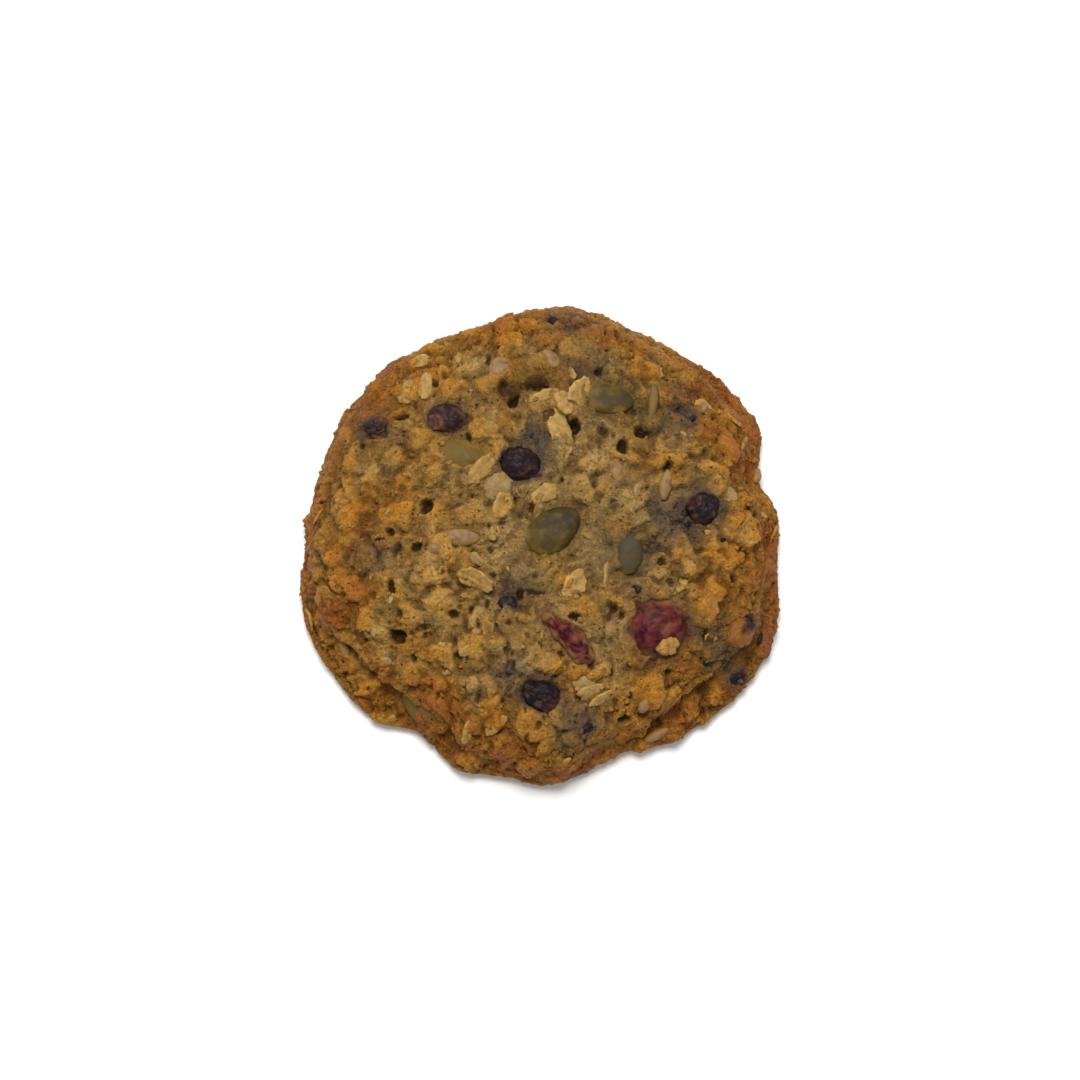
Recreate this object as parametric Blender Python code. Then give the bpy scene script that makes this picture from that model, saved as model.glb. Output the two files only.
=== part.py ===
# Oat cookie with wild blueberries, dried cranberries and pumpkin kernels
#
# Metres, +Z up. The origin is on the ground under the middle of the cookie,
# and -Y is the edge nearest to whoever looks at it.

import itertools
import math

import bmesh
import bpy
import numpy as np
from mathutils import Matrix, Vector

MM = 0.001

# Driving dimensions of the cookie
HEIGHT = 17.0 * MM
ACROSS_X = 88.8 * MM
ACROSS_Y = 91.0 * MM
STEP_WIDTH = 1.5 * MM
UNDERCUT = 1.2 * MM
GAP = 0.3 * MM
WELD = 0.004 * MM

# Where the foot spreads beyond its oval or draws in: angle, half width in degrees, rise in mm
FOOT_LOBES = (
    (6, 5, 1.2),
    (17, 5, -0.9),
    (28, 6, 2.8),
    (43, 9, 2.6),
    (60, 5, 0.6),
    (84, 10, 1.3),
    (97, 4, 0.5),
    (108, 13, -1.1),
    (130, 4, 0.6),
    (163, 10, -0.4),
    (197, 9, 1.9),
    (213, 12, 1.5),
    (238, 6, -2.4),
    (262, 5, -0.8),
    (271, 7, 0.3),
    (290, 8, -2.6),
    (333, 17, 3.1),
)
# Where the mound stands further back from the foot's edge, in the same terms
STEP_LOBES = (
    (225, 24, 4.5),
    (315, 18, 4.0),
    (0, 25, 1.5),
    (45, 20, 1.5),
)

# The mound's profile, as shares of its radius and of the height, then the step down to the foot,
# as shares of the step's width and of the height
MOUND_PROFILE = (
    (0.0, 1.0),
    (0.22, 0.998),
    (0.45, 0.985),
    (0.64, 0.935),
    (0.80, 0.845),
    (0.91, 0.73),
    (0.975, 0.60),
    (1.0, 0.45),
)
STEP_PROFILE = ((0.25, 0.345), (0.72, 0.265), (1.0, 0.14))
POINTS_PER_SPAN = 12

# Crags of the dough: how far apart they are and how high they stand
CRAGS = (
    (9.0 * MM, 1.1 * MM, 11),
    (5.0 * MM, 0.8 * MM, 12),
)
CRAG_FADE = 4.0 * MM
GRID_CELLS = 48

# Oat flakes on the top: x, y, length, width in mm, turn and tilt in degrees
OAT_FLAKES = (
    (3.6, 18.1, 6.5, 4.6, 70, 18),
    (7.2, 25.6, 6.6, 4.8, 60, 12),
    (1.0, 24.6, 6.2, 4.8, 10, 15),
    (-9.7, 20.6, 8.5, 7.0, 55, 8),
    (-10.8, 11.2, 6.2, 3.2, 40, 12),
    (-6.8, 4.4, 5.4, 3.6, 50, 20),
    (7.8, 7.4, 6.6, 4.8, -30, 12),
    (0.3, 8.2, 4.6, 4.2, 20, 15),
    (19.9, 31.5, 7.6, 3.6, -5, 14),
    (35.3, 16.8, 6.8, 5.0, 100, 12),
    (24.4, 15.8, 7.0, 5.6, -20, 10),
    (32.8, 11.4, 6.0, 4.4, -15, 14),
    (36.8, 1.6, 5.2, 4.6, 70, 16),
    (33.4, -4.4, 7.2, 4.6, -35, 12),
    (23.6, 0.6, 7.0, 4.0, -35, 12),
    (22.4, -8.4, 5.8, 3.6, 10, 14),
    (30.9, -12.8, 7.4, 4.4, 80, 14),
    (19.8, -30.1, 7.2, 6.4, 30, 12),
    (-20.1, -30.1, 7.4, 6.8, 120, 14),
    (-18.2, -23.7, 5.6, 4.6, 70, 16),
    (-18.0, -13.5, 6.6, 4.8, 30, 12),
    (-19.6, -8.6, 5.0, 3.8, 20, 18),
    (-35.0, 3.4, 5.8, 4.4, 60, 12),
    (-26.8, 2.7, 7.4, 4.6, 15, 10),
    (-34.4, -8.4, 6.4, 5.2, 110, 12),
    (-31.9, -16.4, 5.4, 4.6, 80, 14),
    (-24.0, 10.4, 5.6, 4.6, 70, 10),
    (-23.9, 27.1, 6.0, 3.8, 75, 14),
    (-4.2, 39.6, 7.6, 5.0, 20, 12),
    (-11.9, -8.8, 7.2, 3.4, -25, 22),
    (-12.5, -22.0, 6.0, 5.2, 20, 10),
    (-0.3, -36.9, 7.8, 5.2, 5, 14),
    (9.9, -28.4, 7.0, 3.6, 12, 14),
    (9.8, 12.6, 6.0, 4.8, 30, 10),
    (-3.6, -8.6, 5.6, 4.6, 40, 10),
    (27.0, 27.6, 5.6, 4.6, 20, 12),
)
FLAKE_THICKNESS = 2.2 * MM
FLAKE_SEGMENTS = 8
FLAKE_RINGS = 4

# Sunflower kernels on the top: x, y, length, width in mm, turn and tilt in degrees
SUNFLOWER_KERNELS = (
    (-14.6, -1.6, 7.4, 3.2, 5, 8),
    (-7.3, 31.5, 5.6, 4.0, 60, 14),
    (2.4, 33.2, 4.6, 3.0, 130, 12),
    (35.7, 7.4, 4.4, 3.0, -40, 14),
    (14.3, 11.4, 4.8, 3.0, 100, 14),
    (-21.3, 28.6, 5.2, 2.8, 80, 14),
    (6.6, -10.8, 6.8, 3.8, 70, 18),
    (-13.3, -37.0, 4.8, 2.4, 85, 20),
    (-25.0, -37.0, 5.2, 3.0, 30, 12),
)
SUNFLOWER_THICKNESS = 2.4 * MM

# Flakes on the sides, where the top's places end
SIDE_FLAKES = 14
SIDE_FLAKE_SEED = 5
SIDE_FLAKE_SHARES = (0.80, 0.92)

# Wild blueberries: x, y, length, width, depth in mm, turn and tilt in degrees, how far they stand up
BLUEBERRIES = (
    (-3.7, 12.3, 8.0, 6.8, 6.6, -15, 0, 1.6),
    (-17.3, 21.3, 8.0, 6.4, 6.2, 0, 0, 1.3),
    (-31.3, 19.7, 5.4, 4.2, 4.4, 20, 0, 0.9),
    (0.2, -30.6, 7.0, 6.0, 6.2, -10, 0, 1.6),
    (30.6, 4.6, 6.4, 6.2, 6.2, 30, 0, 1.4),
    (37.5, -18.7, 7.2, 5.4, 5.4, 30, 0, 1.2),
)
# Dried cranberries, in the same terms: one plump, one folded into a strip
CRANBERRIES = (
    (22.0, -18.6, 12.2, 11.4, 8.0, 60, 0, 1.5),
    (5.2, -20.0, 13.0, 4.2, 4.4, -42, 0, 1.2),
)
# Pumpkin kernels, in the same terms: four lie flat, one stands on edge, one leans on the side
PUMPKIN_KERNELS = (
    (2.6, -0.2, 11.2, 8.6, 3.0, 38, 0, 0.9),
    (12.7, 25.2, 10.0, 6.6, 3.0, -12, 0, 0.8),
    (-15.4, 14.4, 10.4, 6.4, 3.0, -14, 0, 0.7),
    (16.4, -4.6, 8.0, 6.0, 3.0, 80, 0, 0.7),
    (21.5, 25.0, 8.4, 5.4, 2.4, 82, 76, 0.9),
    (-22.6, -33.4, 9.6, 5.6, 2.4, -50, 24, 0.8),
)
# The oat bit that lies on the plump cranberry: x, y, length, width, thickness in mm, turn
CRANBERRY_OAT = (23.2, -21.6, 4.2, 3.4, 2.6, 30)
CRANBERRY_OAT_LIFT = 0.9 * MM

# Skins and dough
DOUGH = (0.235, 0.115, 0.034)
BLUEBERRY_SKIN = (0.021, 0.017, 0.021)
CRANBERRY_SKIN = (0.105, 0.020, 0.022)
KERNEL_SKIN = (0.110, 0.086, 0.030)


# Scene

def clear_scene():
    for obj in list(bpy.data.objects):
        bpy.data.objects.remove(obj)


def new_collection(name):
    collection = bpy.data.collections.new(name)
    bpy.context.scene.collection.children.link(collection)
    return collection


def skin_material(name, colour, roughness):
    """A matt or slightly waxy skin with no metal in it."""
    material = bpy.data.materials.new(name)
    material.use_nodes = True
    shader = material.node_tree.nodes["Principled BSDF"]
    shader.inputs["Base Color"].default_value = (*colour, 1.0)
    shader.inputs["Roughness"].default_value = roughness
    shader.inputs["Metallic"].default_value = 0.0
    return material


# Form of the cookie

def lobes(theta, rows):
    """Sum of raised-cosine swellings round the edge, in metres."""
    degrees = np.degrees(theta)
    total = np.zeros_like(degrees)
    for angle, half_width, rise in rows:
        away = np.abs((degrees - angle + 180) % 360 - 180) / (2 * half_width)
        total += rise * MM * (0.5 + 0.5 * np.cos(math.pi * np.minimum(away, 1)))
    return total


def foot_radius(theta):
    """An oval with lobes: the widest ring of the cookie."""
    half_x = ACROSS_X / 2
    half_y = ACROSS_Y / 2
    oval = half_x * half_y / np.hypot(half_y * np.cos(theta), half_x * np.sin(theta))
    return oval + lobes(theta, FOOT_LOBES)


def profile(theta):
    """Radii and heights down one side, from the middle of the top to the foot's lower edge.

    A Catmull-Rom curve passes through the named profile points.
    """
    foot = float(foot_radius(np.array(theta)))
    step = STEP_WIDTH + float(lobes(np.array(theta), STEP_LOBES))
    mound = foot - step
    radii = [share * mound for share, _ in MOUND_PROFILE]
    radii += [mound + share * step for share, _ in STEP_PROFILE] + [foot - UNDERCUT]
    heights = [share * HEIGHT for _, share in MOUND_PROFILE + STEP_PROFILE] + [0.0]
    points = np.stack([radii, heights], axis=1)
    before = points[1] * (-1, 1)
    after = 2 * points[-1] - points[-2]
    points = np.vstack([before, points, after])
    along = np.linspace(0, 1, POINTS_PER_SPAN, endpoint=False)[:, None]
    curve = []
    for a, b, c, d in zip(points, points[1:], points[2:], points[3:]):
        bend = 2 * a - 5 * b + 4 * c - d
        curve.append(b + 0.5 * along * (c - a + along * (bend + along * (3 * (b - c) + d - a))))
    return np.vstack(curve + [points[-2:-1]])


def surface_point(theta, share):
    """Point of the smooth form at a share of the way down the profile's length."""
    curve = profile(theta)
    steps = np.hypot(*np.diff(curve, axis=0).T)
    length = np.concatenate([[0], np.cumsum(steps)])
    radius, height = (np.interp(share * length[-1], length, line) for line in curve.T)
    return Vector((radius * math.cos(theta), radius * math.sin(theta), height))


def share_at(theta, radius):
    """Share of the profile's length at which the top reaches this radius."""
    low, high = 0.0, 0.85
    for _ in range(24):
        middle = (low + high) / 2
        if surface_point(theta, middle).xy.length < radius:
            low = middle
        else:
            high = middle
    return low


def surface_frame(theta, share):
    """Place and turning of the smooth form's surface: local Z stands off it, local X runs round."""
    small = 0.01
    place = surface_point(theta, share)
    round_way = surface_point(theta + small, share) - surface_point(theta - small, share)
    down_way = surface_point(theta, share + small) - surface_point(theta, max(share - small, 0.001))
    out = down_way.cross(round_way).normalized()
    along = (Vector((1, 0, 0)) - out * out.x).normalized()
    turning = Matrix((along, out.cross(along), out)).transposed()
    return place, turning


def top_frame(x, y):
    """The same frame at a place on the top, given in millimetres."""
    theta = math.atan2(y, x)
    return surface_frame(theta, max(share_at(theta, math.hypot(x, y) * MM), 0.02))


def noise(points, size, seed):
    """Gradient noise from about -1 to 1, whose lumps are one size apart."""
    cells = 16
    slopes = np.random.default_rng(seed).normal(size=(cells, cells, cells, 3))
    slopes /= np.linalg.norm(slopes, axis=3, keepdims=True)
    spots = points / size
    cell = np.floor(spots).astype(int)
    part = spots - cell
    blend = part**3 * (part * (part * 6 - 15) + 10)
    total = np.zeros(len(points))
    for corner in itertools.product((0, 1), repeat=3):
        slope = slopes[tuple(((cell + corner) % cells).T)]
        weight = np.where(corner, blend, 1 - blend).prod(axis=1)
        total += weight * ((part - corner) * slope).sum(axis=1)
    return 1.6 * total


def crag_rise(points):
    """How far the dough's crags stand off the smooth form: nothing at the flat underside."""
    rise = sum(high * noise(points, size, seed) for size, high, seed in CRAGS)
    return rise * np.clip(points[:, 2] / CRAG_FADE, 0, 1)


def disc_from_square(u, v):
    """Ring and angle on a disc for a place on a square: square rings become round ones."""
    if abs(u) > abs(v):
        ring, theta = u, math.pi / 4 * v / u
    elif v != 0:
        ring, theta = v, math.pi / 2 - math.pi / 4 * u / v
    else:
        return 0.0, 0.0
    return abs(ring), theta + (math.pi if ring < 0 else 0)


def make_core(collection):
    """The dough: a square grid drawn over the top and the sides, and one flat face below."""
    bm = bmesh.new()
    bmesh.ops.create_grid(bm, x_segments=GRID_CELLS, y_segments=GRID_CELLS, size=1.0)
    for vert in bm.verts:
        share, theta = disc_from_square(vert.co.x, vert.co.y)
        vert.co = surface_point(theta, share)
    bm.normal_update()
    rises = crag_rise(np.array([vert.co for vert in bm.verts]))
    for vert, rise in zip(bm.verts, rises):
        if not vert.is_boundary:
            vert.co += vert.normal * float(rise)
    rim = [edge for edge in bm.edges if edge.is_boundary]
    bmesh.ops.holes_fill(bm, edges=rim, sides=0)
    bmesh.ops.recalc_face_normals(bm, faces=bm.faces)
    return add_object(bm, "cookie", collection)


# Toppings

def add_object(bm, name, collection):
    mesh = bpy.data.meshes.new(name)
    bm.to_mesh(mesh)
    bm.free()
    obj = bpy.data.objects.new(name, mesh)
    collection.objects.link(obj)
    return obj


def pebble(size, segments, rings, taper=0.0, grow=0.0):
    """A ball squeezed to a length, width and thickness, narrower towards +X by its taper."""
    bm = bmesh.new()
    bmesh.ops.create_uvsphere(bm, u_segments=segments, v_segments=rings, radius=1.0)
    for vert in bm.verts:
        across = 1 - taper * (0.5 + 0.5 * vert.co.x)
        vert.co.y *= across
        vert.co = Vector([c * (s / 2 + grow) for c, s in zip(vert.co, size)])
    return bm


def wrinkle(bm, depth, size, seed):
    """Pulls a skin in and out along its normals."""
    bm.normal_update()
    waves = noise(np.array([vert.co for vert in bm.verts]), size, seed)
    for vert, wave in zip(bm.verts, waves):
        vert.co += vert.normal * depth * float(wave)


def calyx(bm, radius, depth):
    """Dents the top of a berry, where its flower was."""
    for vert in bm.verts:
        away = vert.co.xy.length / radius
        if vert.co.z > 0 and away < 1:
            vert.co.z -= depth * (0.5 + 0.5 * math.cos(math.pi * away))


def lay(bm, place, turning, turn, tilt=0.0, sink=0.0):
    """Moves a topping from its own frame to the surface, turned about the way out and tilted."""
    spin = Matrix.Rotation(math.radians(turn), 3, "Z")
    lean = Matrix.Rotation(math.radians(tilt), 3, "X")
    move = Matrix.Translation(place - turning.col[2] * sink) @ (turning @ spin @ lean).to_4x4()
    bmesh.ops.transform(bm, matrix=move, verts=bm.verts)


def top_rise(place):
    return float(crag_rise(np.array([place]))[0])


def lay_on_top(bm, x, y, turn, tilt, sink):
    place, turning = top_frame(x, y)
    lay(bm, place + turning.col[2] * top_rise(place), turning, turn, tilt, sink)


def make_flakes(collection):
    """Oat flakes and sunflower kernels of the top, then the flakes of the sides."""
    for index, (x, y, length, width, turn, tilt) in enumerate(OAT_FLAKES, 1):
        bm = pebble((length * MM, width * MM, FLAKE_THICKNESS), FLAKE_SEGMENTS, FLAKE_RINGS)
        lay_on_top(bm, x, y, turn, tilt, 0.2 * MM)
        add_object(bm, f"oat_flake_{index}", collection)
    for index, (x, y, length, width, turn, tilt) in enumerate(SUNFLOWER_KERNELS, 1):
        size = (length * MM, width * MM, SUNFLOWER_THICKNESS)
        bm = pebble(size, FLAKE_SEGMENTS, FLAKE_RINGS, taper=0.5)
        lay_on_top(bm, x, y, turn, tilt, 0.3 * MM)
        add_object(bm, f"sunflower_kernel_{index}", collection)
    draw = np.random.default_rng(SIDE_FLAKE_SEED)
    for index in range(SIDE_FLAKES):
        theta = 2 * math.pi * (index + draw.uniform(0.2, 0.8)) / SIDE_FLAKES
        place, turning = surface_frame(theta, draw.uniform(*SIDE_FLAKE_SHARES))
        size = (draw.uniform(5.0, 7.0) * MM, draw.uniform(3.2, 4.4) * MM, FLAKE_THICKNESS)
        bm = pebble(size, FLAKE_SEGMENTS, FLAKE_RINGS)
        lay(bm, place, turning, draw.uniform(0, 180), draw.uniform(-12, 12), 0.5 * MM)
        add_object(bm, f"side_flake_{index + 1}", collection)


def topping_bmesh(kind, row, grow):
    """A berry or kernel in its place, grown on all sides for its pocket."""
    x, y, length, width, depth, turn, tilt, proud = row
    size = (length * MM, width * MM, depth * MM)
    lean = math.radians(tilt)
    half_height = math.hypot(size[2] * math.cos(lean), size[1] * math.sin(lean)) / 2
    if kind == "blueberry":
        bm = pebble(size, 12, 8, grow=grow)
        calyx(bm, 0.3 * size[1], 0.5 * MM)
    elif kind == "cranberry":
        bm = pebble(size, 16, 9, grow=grow)
        wrinkle(bm, 0.4 * MM, 4.0 * MM, 21)
    else:
        bm = pebble(size, 14, 6, taper=0.35, grow=grow)
    place, turning = top_frame(x, y)
    lay(bm, place, turning, turn, tilt, half_height - proud * MM)
    return bm


def make_toppings(kind, rows, collection, cutters, material):
    """One solid for each berry or kernel, and beside it the cutter of its pocket."""
    for index, row in enumerate(rows, 1):
        obj = add_object(topping_bmesh(kind, row, 0.0), f"{kind}_{index}", collection)
        finish(obj, material)
        cutter = add_object(topping_bmesh(kind, row, GAP), f"{kind}_{index}_pocket", cutters)
        hide_helper(cutter)


def make_cranberry_oat(name, collection, grow=0.0):
    """The oat bit that is fused to the berry it lies on, or the room that the dough leaves it."""
    x, y, length, width, thickness, turn = CRANBERRY_OAT
    bm = pebble((length * MM, width * MM, thickness * MM), FLAKE_SEGMENTS, FLAKE_RINGS, grow=grow)
    place, turning = top_frame(x, y)
    lay(bm, place, turning, turn, tilt=8, sink=-CRANBERRY_OAT_LIFT)
    return add_object(bm, name, collection)


# Joining and finishing

def hide_helper(obj):
    obj.hide_render = True
    obj.display_type = "WIRE"


def finish(obj, material):
    obj.data.materials.clear()
    obj.data.materials.append(material)
    obj.data.shade_smooth()
    obj.data.set_sharp_from_angle(angle=math.radians(40))


def keep_largest_shell(mesh):
    """Drops loose scraps and fills sealed hollows, which are shells of their own."""
    bm = bmesh.new()
    bm.from_mesh(mesh)
    bmesh.ops.remove_doubles(bm, verts=bm.verts, dist=WELD)
    bmesh.ops.dissolve_degenerate(bm, edges=bm.edges, dist=WELD)
    left = set(bm.faces)
    shells = []
    while left:
        shell = {left.pop()}
        front = list(shell)
        while front:
            edges = [edge for edge in front.pop().edges if len(edge.link_faces) == 2]
            near = {face for edge in edges for face in edge.link_faces} & left
            left -= near
            shell |= near
            front += near
        shells.append(shell)
    shells.sort(key=len)
    for shell in shells[:-1]:
        bmesh.ops.delete(bm, geom=list(shell), context="FACES")
    bm.to_mesh(mesh)
    bm.free()


def combine(obj, others, operation):
    """One exact Boolean of the object with a whole collection, applied; the others are removed."""
    modifier = obj.modifiers.new(operation.lower(), "BOOLEAN")
    modifier.operation = operation
    modifier.solver = "EXACT"
    modifier.operand_type = "COLLECTION"
    modifier.collection = others
    graph = bpy.context.evaluated_depsgraph_get()
    mesh = bpy.data.meshes.new_from_object(obj.evaluated_get(graph))
    obj.modifiers.clear()
    obj.data = mesh
    keep_largest_shell(mesh)
    for other in list(others.objects):
        bpy.data.objects.remove(other)
    bpy.data.collections.remove(others)


def main():
    clear_scene()
    cookie_parts = new_collection("oat_cookie")
    flakes = new_collection("flakes")
    cutters = new_collection("pockets")
    helpers = new_collection("cranberry_toppings")

    dough = skin_material("baked_oat_dough", DOUGH, 0.75)
    blueberry_skin = skin_material("blueberry_skin", BLUEBERRY_SKIN, 0.55)
    cranberry_skin = skin_material("cranberry_skin", CRANBERRY_SKIN, 0.40)
    kernel_skin = skin_material("pumpkin_kernel_skin", KERNEL_SKIN, 0.50)

    core = make_core(cookie_parts)
    make_flakes(flakes)
    combine(core, flakes, "UNION")

    make_toppings("blueberry", BLUEBERRIES, cookie_parts, cutters, blueberry_skin)
    make_toppings("cranberry", CRANBERRIES, cookie_parts, cutters, cranberry_skin)
    make_toppings("pumpkin_kernel", PUMPKIN_KERNELS, cookie_parts, cutters, kernel_skin)
    hide_helper(make_cranberry_oat("cranberry_oat_pocket", cutters, GAP))
    combine(core, cutters, "DIFFERENCE")
    finish(core, dough)
    make_cranberry_oat("cranberry_oat", helpers)
    cranberry = bpy.data.objects["cranberry_1"]
    combine(cranberry, helpers, "UNION")
    finish(cranberry, cranberry_skin)


main()
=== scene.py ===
import itertools
import math

import bpy
import numpy as np
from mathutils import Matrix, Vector


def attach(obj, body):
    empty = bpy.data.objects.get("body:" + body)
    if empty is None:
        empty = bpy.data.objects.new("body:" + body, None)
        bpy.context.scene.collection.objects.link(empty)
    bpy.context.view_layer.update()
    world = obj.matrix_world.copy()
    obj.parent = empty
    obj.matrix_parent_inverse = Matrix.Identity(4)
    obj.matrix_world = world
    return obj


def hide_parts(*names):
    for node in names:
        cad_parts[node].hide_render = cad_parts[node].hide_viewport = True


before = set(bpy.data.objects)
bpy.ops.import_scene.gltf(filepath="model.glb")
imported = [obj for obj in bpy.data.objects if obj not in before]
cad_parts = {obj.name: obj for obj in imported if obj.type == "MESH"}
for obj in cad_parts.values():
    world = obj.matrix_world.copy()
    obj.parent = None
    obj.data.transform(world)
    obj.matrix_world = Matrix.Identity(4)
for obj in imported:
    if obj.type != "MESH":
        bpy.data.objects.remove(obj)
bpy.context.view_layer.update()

# Looks of an oat cookie with wild blueberries, dried cranberries and pumpkin kernels.
# Shapes are worked out in millimetres and become metres when a mesh is made; +Z is up.
mm = 0.001

# Overall form: a domed mound on a foot that spread while it baked
form = {
    "height": 17.0,
    "acrossX": 88.8,
    "acrossY": 91.0,
    "stepWidth": 1.5,
    "undercut": 1.2,
    "footLobes": (  # angle and half width in degrees, rise in mm
        (6, 5, 1.2), (17, 5, -0.9), (28, 6, 2.8), (43, 9, 2.6), (60, 5, 0.6), (84, 10, 1.3),
        (97, 4, 0.5), (108, 13, -1.1), (130, 4, 0.6), (163, 10, -0.4), (197, 9, 1.9), (213, 12, 1.5),
        (238, 6, -2.4), (262, 5, -0.8), (271, 7, 0.3), (290, 8, -2.6), (333, 17, 3.1),
    ),
    "stepLobes": ((225, 24, 4.5), (315, 18, 4.0), (0, 25, 1.5), (45, 20, 1.5)),
    "mound": (  # shares of the mound's radius and of the height
        (0.0, 1.0), (0.22, 0.998), (0.45, 0.985), (0.64, 0.935), (0.80, 0.845), (0.91, 0.73),
        (0.975, 0.60), (1.0, 0.45),
    ),
    "step": ((0.25, 0.345), (0.72, 0.265), (1.0, 0.14)),  # shares of the step's width and of the height
    "crags": ((9.0, 1.1, 11), (5.0, 0.8, 12)),  # how far apart, how high, seed
}


# A swelling is half a cosine wave high over twice its half width; they add up round the edge.
def swellings(theta, rows):
    degrees = np.degrees(theta)
    total = np.zeros_like(degrees)
    for angle, halfWidth, rise in rows:
        away = np.abs((degrees - angle + 180) % 360 - 180) / (2 * halfWidth)
        total = total + rise * (0.5 + 0.5 * np.cos(np.pi * np.minimum(away, 1)))
    return total


# Radius and height by angle and by share of the way down: a Catmull-Rom curve through the named
# shares at every angle, read off at equal lengths along it.
def sideTable(turns=720, steps=320, perSpan=24):
    theta = np.linspace(-np.pi, np.pi, turns + 1)
    halfX, halfY = form["acrossX"] / 2, form["acrossY"] / 2
    oval = halfX * halfY / np.hypot(halfY * np.cos(theta), halfX * np.sin(theta))
    foot = oval + swellings(theta, form["footLobes"])
    step = form["stepWidth"] + swellings(theta, form["stepLobes"])
    flat = np.zeros_like(foot)
    knots = [(share * (foot - step), up * form["height"] + flat) for share, up in form["mound"]]
    knots += [(foot - step + share * step, up * form["height"] + flat) for share, up in form["step"]]
    knots = np.array(knots + [(foot - form["undercut"], flat)])
    mirrored = knots[1:2] * np.array([-1, 1])[:, None]
    knots = np.concatenate([mirrored, knots, 2 * knots[-1:] - knots[-2:-1]])
    a, b, c, d = knots[:-3], knots[1:-2], knots[2:-1], knots[3:]
    w = np.linspace(0, 1, perSpan, endpoint=False)[:, None, None, None]
    curve = b + 0.5 * w * (c - a + w * (2 * a - 5 * b + 4 * c - d + w * (3 * (b - c) + d - a)))
    curve = curve.transpose(1, 0, 2, 3).reshape(-1, 2, turns + 1)
    curve = np.concatenate([curve, knots[-2:-1]])
    length = np.hypot(*np.diff(curve, axis=0).transpose(1, 0, 2)).cumsum(axis=0)
    length = np.vstack([flat, length]) / length[-1]
    shares = np.linspace(0, 1, steps + 1)
    rows = [[np.interp(shares, length[:, t], curve[:, k, t]) for k in (0, 1)] for t in range(turns + 1)]
    return np.array(rows).transpose(0, 2, 1)


sides = sideTable()


# Point of the smooth form: the table read between its rows and columns, turned to its angle.
def onForm(theta, share):
    theta, share = np.broadcast_arrays(theta, share)
    row = (theta + np.pi) % (2 * np.pi) / (2 * np.pi) * (len(sides) - 1)
    column = np.clip(share, 0, 1) * (sides.shape[1] - 1)
    i = np.minimum(row.astype(int), len(sides) - 2)
    j = np.minimum(column.astype(int), sides.shape[1] - 2)
    p, q = (row - i)[..., None], (column - j)[..., None]
    upper = sides[i, j] * (1 - q) + sides[i, j + 1] * q
    lower = sides[i + 1, j] * (1 - q) + sides[i + 1, j + 1] * q
    radius, height = np.moveaxis(upper * (1 - p) + lower * p, -1, 0)
    return np.stack([radius * np.cos(theta), radius * np.sin(theta), height], axis=-1)


# Each vector over its own length
def unit(vectors):
    return vectors / np.maximum(np.linalg.norm(vectors, axis=-1, keepdims=True), 1e-9)


# Way out of the smooth form: across the way down and the way round it.
def outOfForm(theta, share, small=0.01):
    share = np.maximum(share, 0.012)
    down = onForm(theta, share + small) - onForm(theta, share - small)
    around = onForm(theta + small, share) - onForm(theta - small, share)
    return unit(np.cross(down, around))


# A seat is a place on the form with three axes: along (level with +X), across and out.
def seatAt(theta, share):
    out = outOfForm(np.array(theta), np.array(share))
    along = unit(np.array([1.0, 0, 0]) - out * out[0])
    return onForm(np.array(theta), np.array(share)), np.array([along, np.cross(out, along), out])


# Seat at a place seen from above: the share at which the form has the place's radius.
def seatOnTop(x, y):
    theta = math.atan2(y, x)
    shares = np.linspace(0.02, 0.85, 900)
    radii = np.hypot(*onForm(theta, shares)[:, :2].T)
    return seatAt(theta, np.interp(math.hypot(x, y), radii, shares))


# The axes turned about the way out, then tilted about the way along, both in degrees.
def turned(axes, turn, tilt=0.0):
    a, b = math.radians(turn), math.radians(tilt)
    along = axes[0] * math.cos(a) + axes[1] * math.sin(a)
    across = axes[1] * math.cos(a) - axes[0] * math.sin(a)
    return np.array([along, across * math.cos(b) + axes[2] * math.sin(b),
                     axes[2] * math.cos(b) - across * math.sin(b)])


# Gradient noise from about -1 to 1, its lumps one size apart: every lattice corner has a slope,
# and the slopes are blended with a quintic step.
def noise(points, size, seed):
    cells = 16
    slopes = np.random.default_rng(seed).normal(size=(cells, cells, cells, 3))
    slopes /= np.linalg.norm(slopes, axis=3, keepdims=True)
    spots = points / size
    cell = np.floor(spots).astype(int)
    part = spots - cell
    blend = part**3 * (part * (part * 6 - 15) + 10)
    total = np.zeros(points.shape[:-1])
    for corner in itertools.product((0, 1), repeat=3):
        slope = slopes[tuple(np.moveaxis((cell + corner) % cells, -1, 0))]
        weight = np.where(corner, blend, 1 - blend).prod(axis=-1)
        total += weight * ((part - corner) * slope).sum(axis=-1)
    return 1.6 * total


# Round lumps with sharp creases between them: the noise without its sign, about a mean of 0.
def lumpy(points, size, seed):
    return 2 * np.abs(noise(points, size, seed)) - 0.7


# Three noises side by side push a point about.
def shaken(points, size, seed):
    return np.stack([noise(points, size, seed + k) for k in range(3)], axis=-1)


# Smooth step from 0 to 1: three times the share's square less twice its cube.
def ease(low, high, value):
    part = np.clip((value - low) / (high - low), 0, 1)
    return part * part * (3 - 2 * part)


# Square rings become round rings: the greater coordinate is the ring, the lesser the angle on it.
def discFromSquare(u, v):
    wide = np.abs(u) > np.abs(v)
    ring = np.where(wide, u, v)
    other = np.where(wide, v, u)
    slope = np.pi / 4 * np.divide(other, ring, out=np.zeros_like(ring), where=ring != 0)
    theta = np.where(wide, slope, np.pi / 2 - slope) + np.where(ring < 0, np.pi, 0)
    return np.abs(ring), theta


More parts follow.
